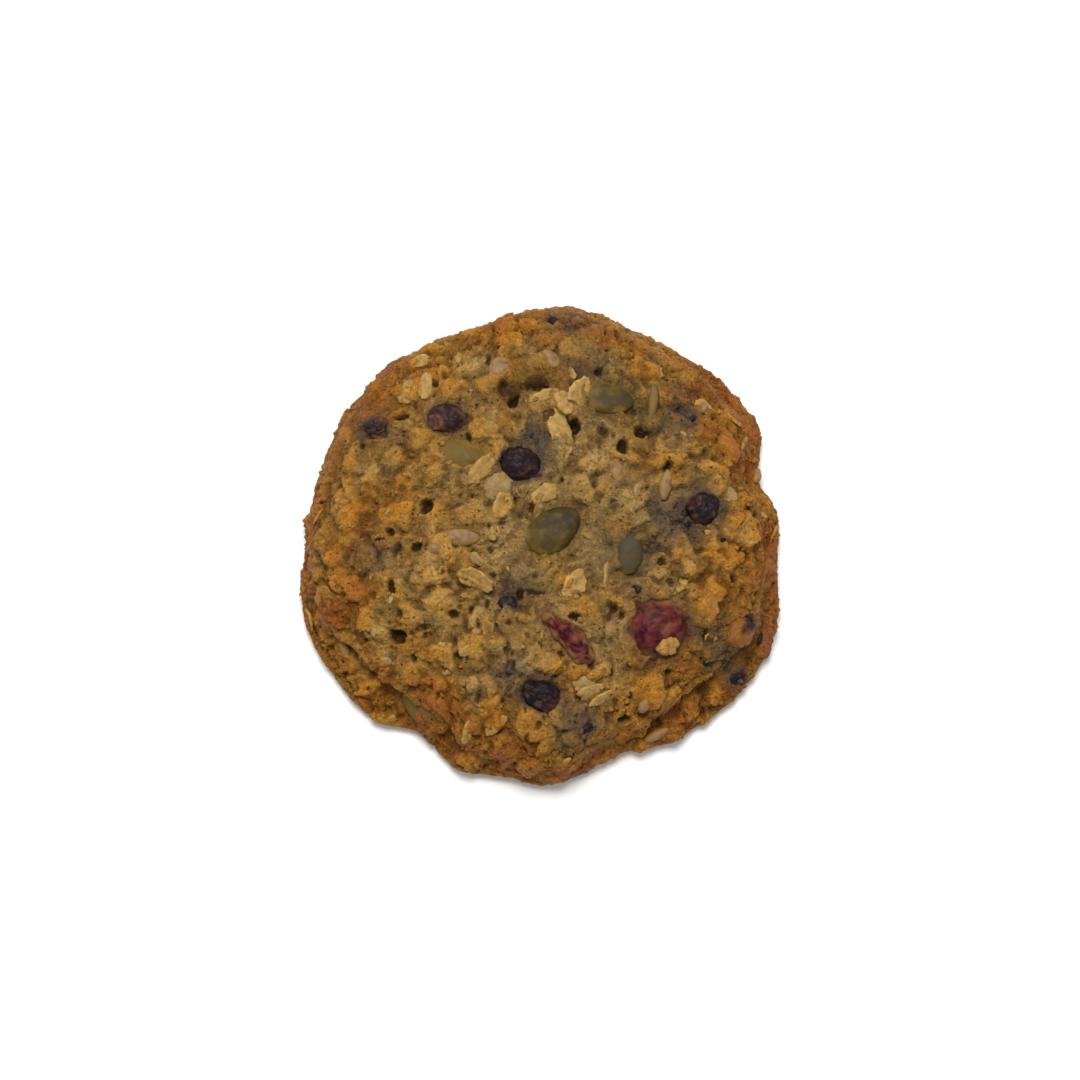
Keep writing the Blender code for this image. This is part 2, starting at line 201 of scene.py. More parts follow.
# Mesh from points in millimetres; values are kept for each point, for its material.
def addMesh(name, points, faces, values=None):
    mesh = bpy.data.meshes.new(name)
    mesh.from_pydata(points.astype(float) * mm, [], faces)
    mesh.update()
    for key, value in (values or {}).items():
        layer = mesh.attributes.new(key, "FLOAT", "POINT")
        layer.data.foreach_set("value", np.ascontiguousarray(value, dtype=np.float32))
    mesh.shade_smooth()
    obj = bpy.data.objects.new(name, mesh)
    bpy.context.scene.collection.objects.link(obj)
    return obj


# Toppings

# Places, sizes and how far each stands up are those of the solids:
# x, y, length, width, depth, turn and tilt in degrees, proud
blueberry = {
    "rows": (
        (-3.7, 12.3, 8.0, 6.8, 6.6, -15, 0, 1.6),
        (-17.3, 21.3, 8.0, 6.4, 6.2, 0, 0, 1.3),
        (-31.3, 19.7, 5.4, 4.2, 4.4, 20, 0, 0.9),
        (0.2, -30.6, 7.0, 6.0, 6.2, -10, 0, 1.6),
        (30.6, 4.6, 6.4, 6.2, 6.2, 30, 0, 1.4),
        (37.5, -18.7, 7.2, 5.4, 5.4, 30, 0, 1.2),
    ),
    "tint": "purple",
    "room": (-0.6, 2.2),  # mm of the dough's level at its outline, and how steeply the dough rises from it
    "calyxWay": ((0.75, -0.55, 0.55), (-0.55, -0.35, 0.75), (0.6, 0.4, 0.7), (0.5, -0.6, 0.6),
                 (-0.5, 0.5, 0.7), (0.9, 0.2, 0.4)),
    # crown of the flower end: radians from its axis, half width, how high in mm; pit: radians, depth
    "crown": (0.40, 0.10, 0.22),
    "pit": (0.30, 0.42),
    "wrinkle": 0.27,  # mm
    "sag": (0.45, 0.55, 0.7, 0.80, 0.95, 0.6),  # mm
    # share of the way to the outline without dough on it, and how patchy the dough is
    "clean": (0.95, 0.72, 0.70, 0.85, 0.75, 0.32),
    "patchy": (0.12, 0.36, 0.30, 0.18, 0.38, 0.3),
    "cleanSpot": ((0, 0), (0, 0.1), (0, 0), (0, 0), (0, 0.1), (0.66, 0.36)),
    "browned": (0.1, 0.0, 0.3, 0.2, 0.1, 1.0),
    "pink": (0.35, 1.0, 0.3, 0.3, 0.4, 0.0),  # share of the flower end's colour
    "ruby": (0.05, 0.16, 0.05, 0.0, 0.0, 0.10),  # share of it all over the berry
    # way from which the dough laps over it, and how high
    "lap": ((225, 0.7), (270, 0.7), (150, 1.0), (60, 0.5), (265, 1.3), (215, 1.6)),
    "start": (0.97, 0.96, 0.88, 0.95, 0.92, 0.98),  # share of the way to its outline where dough begins
}
cranberry = {
    "rows": (
        (22.0, -18.6, 12.2, 11.4, 8.0, 60, 0, 1.5),
        (5.2, -20.0, 13.0, 4.2, 4.4, -42, 0, 1.2),
    ),
    "tint": "crimson",
    "room": (-0.2, 2.0),
    "wrinkle": (0.20, 0.50),
    "fold": (2.6, 1.7),  # distance between wrinkles
    "alongIt": (0.55, 1.0, 1.0),  # how much the wrinkles are drawn out along it
    "clean": (0.62, 0.55),
    "patchy": (0.30, 0.5),
    "flare": (0.0, 0.40),  # how much wider one end is
    "sag": (0.2, 0.7),  # mm
    "lap": ((165, 0.4), (235, 0.5)),
    "start": (0.95, 1.02),
}
kernel = {
    "rows": (
        (2.6, -0.2, 11.2, 8.6, 3.0, 38, 0, 0.9),
        (12.7, 25.2, 10.0, 6.6, 3.0, -12, 0, 0.8),
        (-15.4, 14.4, 10.4, 6.4, 3.0, -14, 0, 0.7),
        (16.4, -4.6, 8.0, 6.0, 3.0, 80, 0, 0.7),
        (21.5, 25.0, 8.4, 5.4, 2.4, 82, 76, 0.9),
        (-22.6, -33.4, 9.6, 5.6, 2.4, -50, 24, 0.8),
    ),
    "tint": "olive",
    "room": (-0.1, 1.4),
    "taper": 0.22,
    "flatness": 0.8,  # power of the height of its faces
    "bend": 0.25,
    "uneven": 0.06,
    "clean": (0.92, 0.72, 0.60, 0.85, 0.50, 0.60),
    "veil": (0.0, 0.10, 0.15, 0.22, 0.30, 0.35),  # least share of dough film
    "patchy": 0.32,
    "lap": ((200, 0.35), (160, 0.8), (215, 1.7), (80, 0.6), (0, 1.2), (50, 14.0)),
    "start": (0.87, 0.78, 0.80, 0.82, 0.55, 0.98),
    "yellow": (0.0, 0.05, 0.35, -0.32, -0.25, 0.5),
}
oatOnCranberry = {"row": (23.2, -21.6, 4.2, 3.4, 2.6, 30), "lift": 0.9}


# What one topping of a kind has of its own
def ownOf(kind, number, *keys):
    return [kind[key][number - 1] for key in keys]


# Place and axes of a topping, and half its sizes
def toppingSeat(row):
    x, y, length, width, depth, turn, tilt, proud = row
    place, axes = seatOnTop(x, y)
    lean = math.radians(tilt)
    halfHeight = math.hypot(depth * math.cos(lean), width * math.sin(lean)) / 2
    place = place - axes[2] * (halfHeight - proud)
    return place, turned(axes, turn, tilt), np.array([length, width, depth]) / 2


# Unit ball as rings from pole to pole, each pole one point.
def ball(rings, segments):
    down = np.linspace(0, np.pi, rings + 1)[1:-1, None]
    around = np.linspace(0, 2 * np.pi, segments, endpoint=False)
    flat = np.sin(down) * np.ones(segments)
    body = np.stack([flat * np.cos(around), flat * np.sin(around), np.cos(down) * np.ones(segments)], -1)
    points = np.vstack([[[0, 0, 1]], body.reshape(-1, 3), [[0, 0, -1]]])
    index = 1 + np.arange((rings - 1) * segments).reshape(rings - 1, segments)
    after = np.roll(index, -1, axis=1)
    quads = np.stack([index[:-1], index[1:], after[1:], after[:-1]], -1).reshape(-1, 4)
    top = np.stack([np.zeros(segments, int), index[0], after[0]], -1)
    last = len(points) - 1
    bottom = np.stack([np.full(segments, last), after[-1], index[-1]], -1)
    return points, quads.tolist() + top.tolist() + bottom.tolist()


# Film of dough over a topping: it thickens from the given share of the way to its outline, by the
# flat distance from its clean spot and a noise; thin smears lie on the rest.
def filmOver(points, spots, start, seed, patchy, spot=(0, 0)):
    reach = np.hypot(points[:, 0] - spot[0], points[:, 1] - spot[1]) + np.where(points[:, 2] < 0, 1, 0)
    uneven = noise(spots, 2.6, seed) + 0.5 * noise(spots, 1.1, seed + 1)
    rim = ease(start, start + 0.45, reach + patchy * uneven)
    return np.maximum(rim, patchy * ease(0.0, 0.60, noise(spots, 1.6, seed + 2)))


# A wild blueberry is a ball pulled in by fine wrinkles; round its flower end stands a crown of
# five lobes about a pit, given by the angle from the flower's axis.
def blueberryPiece(number, row):
    way, saggy, browned = ownOf(blueberry, number, "calyxWay", "sag", "browned")
    clean, patchy, cleanSpot = ownOf(blueberry, number, "clean", "patchy", "cleanSpot")
    pink, ruby = ownOf(blueberry, number, "pink", "ruby")
    place, axes, half = toppingSeat(row)
    points, faces = ball(72, 108)
    way = unit(np.array(way))
    side = unit(np.cross(way, (0.3, 0.2, 1.0)))
    angle = np.arccos(np.clip(points @ way, -1, 1))
    round5 = 5 * np.arctan2(points @ np.cross(way, side), points @ side)
    away, wide, high = blueberry["crown"]
    crown = np.exp(-((angle - away) / wide) ** 2) * (0.7 + 0.3 * np.cos(round5))
    pitWide, pitDeep = blueberry["pit"]
    pit = np.exp(-((angle / pitWide) ** 2))
    spots = points * half.mean()
    folds = lumpy(spots + 0.3 * shaken(spots, 1.2, 40 + number), 1.5, 50 + number)
    dents = blueberry["wrinkle"] * folds + saggy * noise(spots, 4.0, 60 + number)
    out = 1 + (high * crown - pitDeep * pit + dents) / half.mean()
    shaped = points * half * out[:, None] @ axes + place
    film = filmOver(points, spots, clean, 120 + number, patchy, cleanSpot)
    values = {"calyx": pink * (crown + 0.6 * pit) + ruby, "fold": folds, "film": film,
              "browned": np.full(len(points), browned)}
    return addMesh(f"wildBlueberry{number}", shaped, faces, values)


# A dried cranberry is a ball with deep folds that run mostly along it.
def cranberryPiece(number, row):
    fold, deep, flare = ownOf(cranberry, number, "fold", "wrinkle", "flare")
    saggy, clean, patchy = ownOf(cranberry, number, "sag", "clean", "patchy")
    place, axes, half = toppingSeat(row)
    points, faces = ball(96, 140)
    spots = points * half
    spots[:, 1] *= 1 + flare * points[:, 0]
    stretched = (spots + 0.5 * shaken(spots, 2.2, 70 + number)) * cranberry["alongIt"]
    folds = lumpy(stretched, fold, 80 + number)
    fine = lumpy(spots, 0.9, 90 + number)
    outward = 0.9 * deep * folds + saggy * noise(spots, 4.0, 95 + number) + 0.07 * fine
    shaped = (spots + unit(points / half) * outward[:, None]) @ axes + place
    film = filmOver(points, spots, clean, 130 + number, patchy)
    return addMesh(f"driedCranberry{number}", shaped, faces, {"fold": folds, "film": film})


# A pumpkin kernel is a flat ball narrowed towards one end; a power makes its faces flatter, and
# slow noise bends it.
def kernelPiece(number, row):
    clean, veil, yellow = ownOf(kernel, number, "clean", "veil", "yellow")
    place, axes, half = toppingSeat(row)
    points, faces = ball(56, 88)
    x, y, z = points.T
    narrow = 1 - kernel["taper"] * (0.5 + 0.5 * x)
    dome = np.sign(z) * np.abs(z) ** kernel["flatness"]
    spots = np.stack([x * half[0], y * narrow * half[1], dome * half[2]], -1)
    spots[:, 2] += kernel["bend"] * noise(spots * (1, 1, 0), 4.5, 100 + number)
    spots += points * (kernel["uneven"] * noise(spots, 1.5, 110 + number))[:, None]
    film = np.maximum(filmOver(points, spots, clean, 140 + number, kernel["patchy"]), veil)
    values = {"along": x, "across": y, "film": film, "yellow": np.full(len(x), yellow)}
    return addMesh(f"pumpkinKernel{number}", spots @ axes + place, faces, values)


# Crumb

# Oat flakes and lumps under a film of dough, where the photo shows them:
# x, y, length, width, turn in degrees, rise, toast from 0 (pale) to 1 (orange brown)
lumps = {
    "rows": (
        (3.6, 18.1, 7.4, 4.8, 105, 1.1, 0.30), (6.8, 25.0, 6.6, 5.0, 60, 1.3, 0.30),
        (1.0, 24.3, 6.4, 5.2, 10, 1.2, 0.35), (-9.7, 20.6, 9.0, 7.4, 60, 1.2, 0.45),
        (-3.6, 19.2, 5.0, 3.2, 80, 0.8, 0.40), (-10.6, 11.0, 6.4, 3.0, 42, 0.8, 0.35),
        (-6.7, 4.3, 5.0, 3.4, 60, 1.1, 0.45), (-3.2, 7.2, 3.6, 2.6, 60, 0.8, 0.35),
        (7.5, 7.6, 7.0, 5.2, -20, 1.0, 0.35), (19.9, 31.5, 7.8, 3.8, -5, 1.2, 0.70),
        (35.3, 16.8, 7.4, 5.2, 105, 1.3, 0.85), (24.4, 15.8, 7.4, 6.2, -20, 1.0, 0.50),
        (32.5, 10.5, 8.0, 5.8, -10, 1.1, 0.60), (36.0, 2.5, 4.4, 3.8, 40, 1.2, 0.85),
        (38.6, 0.8, 7.2, 5.4, 70, 1.0, 0.45), (33.4, -4.4, 8.0, 5.0, -30, 1.1, 0.60),
        (18.0, 2.0, 5.4, 3.4, 20, 0.9, 0.35), (21.8, 0.6, 5.4, 3.4, -25, 1.0, 0.35),
        (25.6, -2.2, 5.4, 3.4, -50, 1.0, 0.35), (27.6, -6.4, 5.0, 3.6, -80, 0.9, 0.35),
        (21.6, -7.7, 6.0, 3.8, 5, 0.8, 0.25), (30.9, -13.8, 9.0, 4.6, 80, 1.0, 0.55),
        (19.8, -30.1, 8.0, 7.6, 20, 1.3, 0.65), (24.2, -31.7, 8.0, 4.8, 70, 1.0, 0.75),
        (-20.1, -30.1, 9.4, 7.0, 110, 1.4, 0.85), (-21.6, -33.2, 3.2, 2.6, 0, 0.9, 0.70),
        (-18.2, -23.7, 5.6, 5.0, 70, 1.1, 0.55), (-18.0, -13.5, 7.2, 5.0, 25, 1.0, 0.50),
        (-19.3, -8.7, 4.8, 4.2, 20, 1.2, 0.35), (-35.0, 3.4, 7.0, 4.4, 60, 1.0, 0.60),
        (-26.8, 2.7, 8.4, 4.8, 10, 1.0, 0.60), (-38.1, -4.3, 5.0, 4.6, 60, 1.0, 0.85),
        (-34.6, -10.1, 6.6, 5.2, 110, 1.2, 0.75), (-31.9, -16.4, 5.0, 4.4, 80, 1.1, 0.70),
        (-20.0, 11.9, 6.4, 5.0, 70, 0.9, 0.50), (-23.9, 27.1, 5.8, 2.8, 80, 0.9, 0.40),
        (-22.8, 33.4, 4.2, 2.4, 20, 0.9, 0.35), (-18.0, 30.5, 4.2, 2.6, 60, 0.8, 0.45),
        (-4.2, 40.3, 9.0, 5.0, 10, 1.2, 0.80), (-5.9, 36.4, 7.0, 4.4, 0, 1.0, 0.60),
        (-12.0, -9.1, 8.0, 2.8, -28, 1.3, 0.35), (-12.5, -22.0, 7.0, 6.0, 20, 1.1, 0.50),
        (1.2, -24.8, 6.4, 4.4, -20, 0.9, 0.50), (3.4, -34.6, 4.2, 3.4, 70, 0.8, 0.45),
        (-0.3, -36.3, 9.4, 7.0, 0, 1.1, 0.45), (-12.3, -29.2, 4.4, 3.6, 30, 0.9, 0.30),
        (13.1, -18.9, 3.2, 2.6, 80, 0.8, 0.35), (9.9, -26.9, 8.2, 3.8, 8, 0.9, 0.35),
        (16.6, -37.9, 5.0, 4.0, 20, 0.9, 0.90), (9.8, 12.6, 6.0, 5.0, 30, 0.8, 0.25),
        (-3.6, -8.6, 5.6, 4.6, 40, 0.7, 0.25), (6.6, 35.5, 7.0, 5.4, 10, 0.8, 0.45),
        (-12.8, 3.4, 6.6, 5.0, 20, 0.7, 0.25), (-10.9, -17.1, 6.0, 5.0, -30, 0.9, 0.35),
    ),
    "prouder": 1.25,  # how much higher than their rise the lumps above are
    "brightness": (0.6, 1.0),
    "scattered": 150,
    "scatteredRise": (0.4, 1.3),
    "scatteredBrightness": (0.0, 0.7),
    "apart": 4.6,
    "seed": 31,
    "edge": (0.58, 1.12),  # shares of its half size between which a lump falls off
    "ridge": 0.75,  # share of a lump's rise by which one side stands above the other
    "overhang": 0.40,  # mm
}
# Holes: x, y, width, height, depth; then how many pores there are between them
holes = {
    "rows": (
        (6.2, 19.7, 3.2, 2.9, 2.6), (15.4, 15.6, 1.9, 2.5, 2.0), (19.2, 19.0, 3.0, 1.8, 2.0),
        (-20.9, 4.4, 2.2, 2.3, 2.0), (-27.5, -0.6, 1.5, 1.5, 1.4), (-22.9, -3.2, 1.7, 1.7, 1.5),
        (-26.0, -3.2, 0.9, 1.9, 1.2), (-27.2, -10.6, 1.2, 3.0, 1.6), (-26.3, -19.7, 2.8, 2.9, 2.2),
        (-22.9, -23.7, 1.2, 1.2, 1.2), (-14.7, -23.1, 1.6, 0.9, 1.2), (-15.6, -15.9, 1.4, 1.4, 1.4),
        (-8.7, -8.4, 1.1, 0.9, 1.0), (-3.7, -12.3, 1.2, 1.9, 1.4), (-0.8, -11.9, 5.2, 0.8, 0.9),
        (6.5, -16.2, 3.0, 1.3, 1.6), (13.6, -14.9, 1.3, 1.3, 1.3), (22.6, -6.0, 1.4, 1.4, 1.4),
        (37.0, -3.0, 1.9, 1.3, 1.4), (39.2, 5.1, 1.0, 1.1, 1.0), (23.8, 12.3, 1.3, 1.3, 1.3),
        (23.7, -26.2, 1.3, 1.3, 1.4), (15.7, -34.8, 1.9, 1.7, 1.5), (4.8, -37.3, 0.9, 0.9, 0.9),
        (-5.4, -27.0, 1.0, 1.0, 1.0), (4.1, -23.1, 1.0, 1.0, 1.0), (9.5, -25.6, 1.2, 1.2, 1.1),
        (-20.1, 28.5, 2.1, 1.3, 1.4), (-25.7, 21.8, 3.2, 1.0, 1.2), (-32.8, 16.4, 1.1, 1.2, 1.1),
        (-9.9, 32.2, 1.0, 1.0, 1.0), (-12.9, 17.4, 1.2, 1.2, 1.1), (36.2, -8.6, 1.2, 1.2, 1.1),
        (-37.9, 6.0, 1.0, 1.0, 1.0), (-41.6, 1.9, 0.9, 0.9, 0.8), (-6.6, 28.3, 1.5, 1.3, 1.3),
        (-1.4, 27.9, 1.8, 1.3, 1.4), (0.6, 28.0, 1.4, 1.2, 1.3), (-4.8, 24.9, 1.5, 2.3, 1.8),
        (-12.9, 17.5, 1.3, 1.3, 1.2), (-9.8, 33.4, 0.7, 2.2, 1.1), (11.3, 31.0, 1.8, 1.0, 1.2),
    ),
    "pores": 380,
    "poreSize": (0.22, 0.40),  # least half width and how much more, in mm
    "apart": 1.3,
    "seed": 33,
}
# Hollows where fruit has made the crumb moist: x, y, radius, strength
moist = {
    "rows": (
        (-5.6, 26.5, 2.6, 0.9), (-0.6, 28.0, 2.4, 0.8), (11.3, 30.4, 1.8, 0.7), (17.0, 28.0, 2.2, 0.6),
        (6.2, 19.7, 2.4, 0.6), (18.0, 21.0, 4.0, 0.35), (0.0, 30.0, 6.0, 0.35), (27.6, -19.0, 4.0, 0.4),
        (35.0, -22.0, 5.0, 0.4), (-4.0, -11.0, 4.0, 0.35), (5.0, 3.0, 7.0, 0.3),
    ),
    "depth": 0.9,
}
# Juice stains: x, y, radius, strength
stains = {
    "rows": (
        (-0.6, 16.6, 3.2, 2.2), (25.4, 1.8, 3.6, 1.4), (-3.6, -9.5, 3.6, 0.55), (-30.3, -3.4, 4.5, 0.5),
        (5.5, 41.0, 4.5, 0.5), (33.4, -20.9, 3.6, 0.45), (-3.7, 12.3, 4.8, 0.45), (-17.3, 21.3, 4.8, 0.4),
        (-31.3, 19.7, 4.0, 0.6), (0.2, -30.6, 4.6, 0.55), (30.6, 4.6, 4.8, 0.6), (40.3, -15.6, 2.6, 0.5),
        (16.4, -5.0, 5.4, 0.75), (7.9, -35.7, 3.8, 0.9), (-5.4, -27.0, 2.8, 0.8),
        (27.4, -17.4, 2.2, 0.7), (12.7, 25.2, 4.6, 0.35), (24.8, 21.2, 4.6, 0.6),
        (8.8, 30.8, 5.0, 0.45), (26.5, 27.0, 4.0, 0.35), (20.5, 6.6, 3.6, 0.35),
        (22.0, -18.0, 7.0, 0.35), (-5.9, -13.8, 2.4, 0.8), (36.8, -25.8, 2.4, 0.9), (28.2, 21.9, 1.6, 0.9),
    ),
    "strength": 1.35,
    "besideFruit": 0.7,
}
# Browning: how much more or less than the rim's even browning: x, y, radius, amount
browning = {
    "rows": (
        (0.0, 3.0, 20.0, -0.24), (15.0, 10.0, 12.0, -0.10), (-2.0, -17.0, 10.0, -0.12),
        (-28.5, 6.0, 9.0, 0.22), (-36.0, -8.0, 9.0, 0.25), (-20.0, -31.0, 7.0, 0.25),
        (20.0, -30.0, 7.0, 0.20), (35.0, 17.0, 7.0, 0.28), (32.0, 29.0, 9.0, 0.25),
        (-4.0, 40.0, 8.0, 0.18), (0.0, -42.0, 12.0, 0.22), (-32.0, 24.0, 9.0, 0.18),
        (40.0, -8.0, 8.0, 0.22), (10.0, 37.0, 8.0, 0.05), (-14.0, 30.0, 8.0, -0.05),
    ),
    "rim": (0.72, 1.04),  # shares of the way out between which the rim's browning sets in
    "rimAmount": 0.30,
    "middle": 0.30,
    "blotches": ((8.0, 0.32, 41), (4.0, 0.14, 42)),  # how far apart, how much, seed
    "lumps": (0.50, 0.42),  # how much a lump's own toast counts, and the toast that changes nothing
}
crumb = {
    "cells": 264,
    "crags": 0.7,  # share of the form's crags that is left to this relief
    # how far apart, how high, seed
    "fine": ((3.8, 0.42, 13), (1.9, 0.32, 14), (1.15, 0.30, 15), (0.70, 0.18, 19)),
    "onLumps": 0.72,  # share of the fine relief
    # the lumps' outlines are shaken: how far apart, how far, seed; and the share of it all
    "shake": ((3.4, 1.3, 16), (1.3, 0.55, 24)),
    "shakeShare": 0.7,
    "blend": 0.50,  # mm over which dough and lumps run together
    "side": 0.62,  # share of the relief on upright sides
    "sideways": (1.7, 0.22, 20),  # how far apart, how far, seed
    "cracks": ((8.0, 0.07, 0.8, 26), (5.0, 0.06, 0.5, 27)),  # how far apart, how wide, how deep, seed
    # height and half width of the groove where mound and foot meet, depth by the foot's extra width
    "crease": (6.8, 0.9, 0.2),
    "level": -0.60,  # mm above the smooth form
    "roomUneven": 0.45,  # mm by which the dough's edge round a topping goes up and down
    "roomDepth": 1.6,  # mm under that edge that the dough goes down to below the topping
    "fade": 4.0,  # mm of height over which the relief grows from the tray upwards
}


# A lump of dough over a flake: a plate with a steep edge, higher towards one side, where it also
# overhangs. Gives how high it is, how much of it there is and how far it leans outwards.
def plate(points, outs, seat, half, rise, power, ridge):
    place, axes = seat
    local = (points - place) @ axes.T
    a, b = local[:, 0] / half[0], local[:, 1] / half[1]
    edge = (np.abs(a) ** power + np.abs(b) ** power) ** (1 / power)
    flat = (1 - ease(*lumps["edge"], edge)) * ((np.abs(local[:, 2]) < 4) & (outs @ axes[2] > 0.2))
    high = 0.75 - 0.2 * edge**2 + lumps["ridge"] * (a * math.cos(ridge) + b * math.sin(ridge))
    lift = rise * (0.95 * flat * np.maximum(high, 0) - 0.6 * (1 - flat))
    lean = unit(local[:, :1] * axes[0] + local[:, 1:2] * axes[1])
    return lift, flat, lean * (lumps["overhang"] * ease(0.5, 0.9, edge) * flat)[:, None]


# Places spread over the top and the sides, no two closer than the given distance.
def spread(count, apart, seed, tries=60):
    draw = np.random.default_rng(seed)
    chosen = []
    for u, v in draw.uniform(-0.97, 0.97, (count * tries, 2)):
        share, theta = discFromSquare(np.array(u), np.array(v))
        place = onForm(theta, share)
        if place[2] > 1.5 and all(np.linalg.norm(place - other[0]) > apart for other in chosen):
            chosen.append((place, float(theta), float(share)))
        if len(chosen) == count:
            break
    return [seatAt(theta, share) for _, theta, share in chosen]


# Every lump in turn, over the points near it; the highest one at a point gives its height, its
# mask, its lean, its toast and its brightness; the lumps of the photo are brighter than the rest.
def allLumps(points, outs):
    draw = np.random.default_rng(lumps["seed"])
    shapes = []
    for x, y, length, width, turn, rise, brown in lumps["rows"]:
        place, axes = seatOnTop(x, y)
        seat, half = (place, turned(axes, turn)), (length / 2, width / 2)
        shapes.append((seat, half, rise * lumps["prouder"], brown, lumps["brightness"]))
    for place, axes in spread(lumps["scattered"], lumps["apart"], lumps["seed"]):
        half = draw.uniform(1.8, 4.6), draw.uniform(1.4, 3.2)
        seat = place, turned(axes, draw.uniform(0, 360))
        rise, brown = draw.uniform(*lumps["scatteredRise"]), draw.uniform(0.05, 0.85)
        shapes.append((seat, half, rise, brown, lumps["scatteredBrightness"]))
    height, toast, chance = (np.full(len(points), start) for start in (-0.6, 0.5, 0.5))
    mask, lean = np.zeros(len(points)), np.zeros((len(points), 3))
    for seat, half, rise, brown, brightness in shapes:
        near = np.flatnonzero(((points - seat[0]) ** 2).sum(axis=1) < (1.5 * max(half)) ** 2)
        power, ridge, own = draw.uniform(2.2, 5.0), draw.uniform(0, 2 * np.pi), draw.uniform(*brightness)
        lift, flat, out = plate(points[near], outs[near], seat, half, rise, power, ridge)
        above = lift > height[near]
        near = near[above]
        height[near], mask[near], lean[near] = lift[above], flat[above], out[above]
        toast[near], chance[near] = brown, own
    return height, mask, lean, toast, chance


# Sum of soft round spots, seen from above: a bell over the distance from each place.
def softSpots(points, rows):
    total = np.zeros(points.shape[:-1])
    for x, y, radius, amount in rows:
        away = ((points[..., 0] - x) ** 2 + (points[..., 1] - y) ** 2) / radius**2
        total += amount * np.exp(-away)
    return total


# Depth of the holes: half an ellipsoid pressed in at each place, the deepest one counting.
def allHoles(points, outs):
    draw = np.random.default_rng(holes["seed"])
    depth = np.zeros(len(points))
    shapes = [(seatOnTop(x, y), (w / 2, h / 2), deep) for x, y, w, h, deep in holes["rows"]]
    for seat in spread(holes["pores"], holes["apart"], holes["seed"]):
        least, more = holes["poreSize"]
        radius = least + more * draw.uniform() ** 2
        shapes.append((seat, (radius, radius * draw.uniform(0.8, 2.2)), draw.uniform(0.4, 1.0)))
    for (place, axes), half, deep in shapes:
        near = np.flatnonzero(((points - place) ** 2).sum(axis=1) < (2 * max(half) + 1) ** 2)
        local = (points[near] - place) @ turned(axes, draw.uniform(-20, 20)).T
        s = (local[:, 0] / half[0]) ** 2 + (local[:, 1] / half[1]) ** 2
        cut = deep * np.sqrt(np.clip(1.25 - s, 0, 1)) * (outs[near] @ axes[2] > 0.2)
        depth[near] = np.maximum(depth[near], cut)
    return depth


# Cracks: where a slow noise crosses zero, a narrow bell of it goes down, in some places only.
def allCracks(points):
    total = 0
    for size, wide, deep, seed in crumb["cracks"]:
        here = ease(-0.1, 0.35, noise(points, 2.2 * size, seed + 50))
        total = total + deep * here * np.exp(-((noise(points, size, seed) / wide) ** 2))
    return total


# Room for a topping: the dough may rise from a low level at its outline, by the given slope, and
# stays below it inside, except on a side where it laps over. Gives the relief and how near the
# outline is.
def makeRoom(points, relief, row, start, level, slope, lap):
    place, axes, half = toppingSeat(row)
    near = np.flatnonzero(((points - place) ** 2).sum(axis=1) < (max(half) + 3) ** 2)
    local = (points[near] - place) @ axes.T
    edge = np.hypot(local[:, 0] / half[0], local[:, 1] / half[1])
    size = (half[0] + half[1]) / 2
    uneven = noise(points[near], 1.8, 28) + 0.6 * noise(points[near], 0.9, 29)
    roof = level + slope * size * (edge - start) + crumb["roomUneven"] * uneven
    roof = np.where(edge < start, np.maximum(roof, level - crumb["roomDepth"]), roof)
    way = math.radians(lap[0])
    over = lap[1] * ease(-0.35, 0.5, (local[:, 0] * math.cos(way) + local[:, 1] * math.sin(way)) / size)
    lifted = relief[near] + 0.5 * np.minimum(over, 2.5) * (1 - ease(0.8, 1.5, edge))
    room = relief.copy()
    room[near] = np.minimum(lifted, roof + over)
    close = np.zeros(len(points))
    close[near] = 1 - ease(0.0, 1.0, np.abs((edge - 1) * size))
    return room, close


# Average of each grid point with its four neighbours, many times over.
def smoothed(grid, times):
    for _ in range(times):
        wide = np.pad(grid, 1, mode="edge")
        grid = (2 * grid + wide[2:, 1:-1] + wide[:-2, 1:-1] + wide[1:-1, 2:] + wide[1:-1, :-2]) / 6
    return grid


# Order of the points round the edge of a square grid of n cells, anticlockwise from (0, 0).
def edgeOrder(n):
    side = np.arange(n)
    return np.concatenate([side, side * (n + 1) + n, (n + 1) * (n + 1) - 1 - side, (n - side) * (n + 1)])


# Quads of a grid of n by n cells whose first point has the given number.
def gridFaces(n, start=0):
    index = start + np.arange((n + 1) ** 2).reshape(n + 1, n + 1)
    return np.stack([index[:-1, :-1], index[:-1, 1:], index[1:, 1:], index[1:, :-1]], -1).reshape(-1, 4)


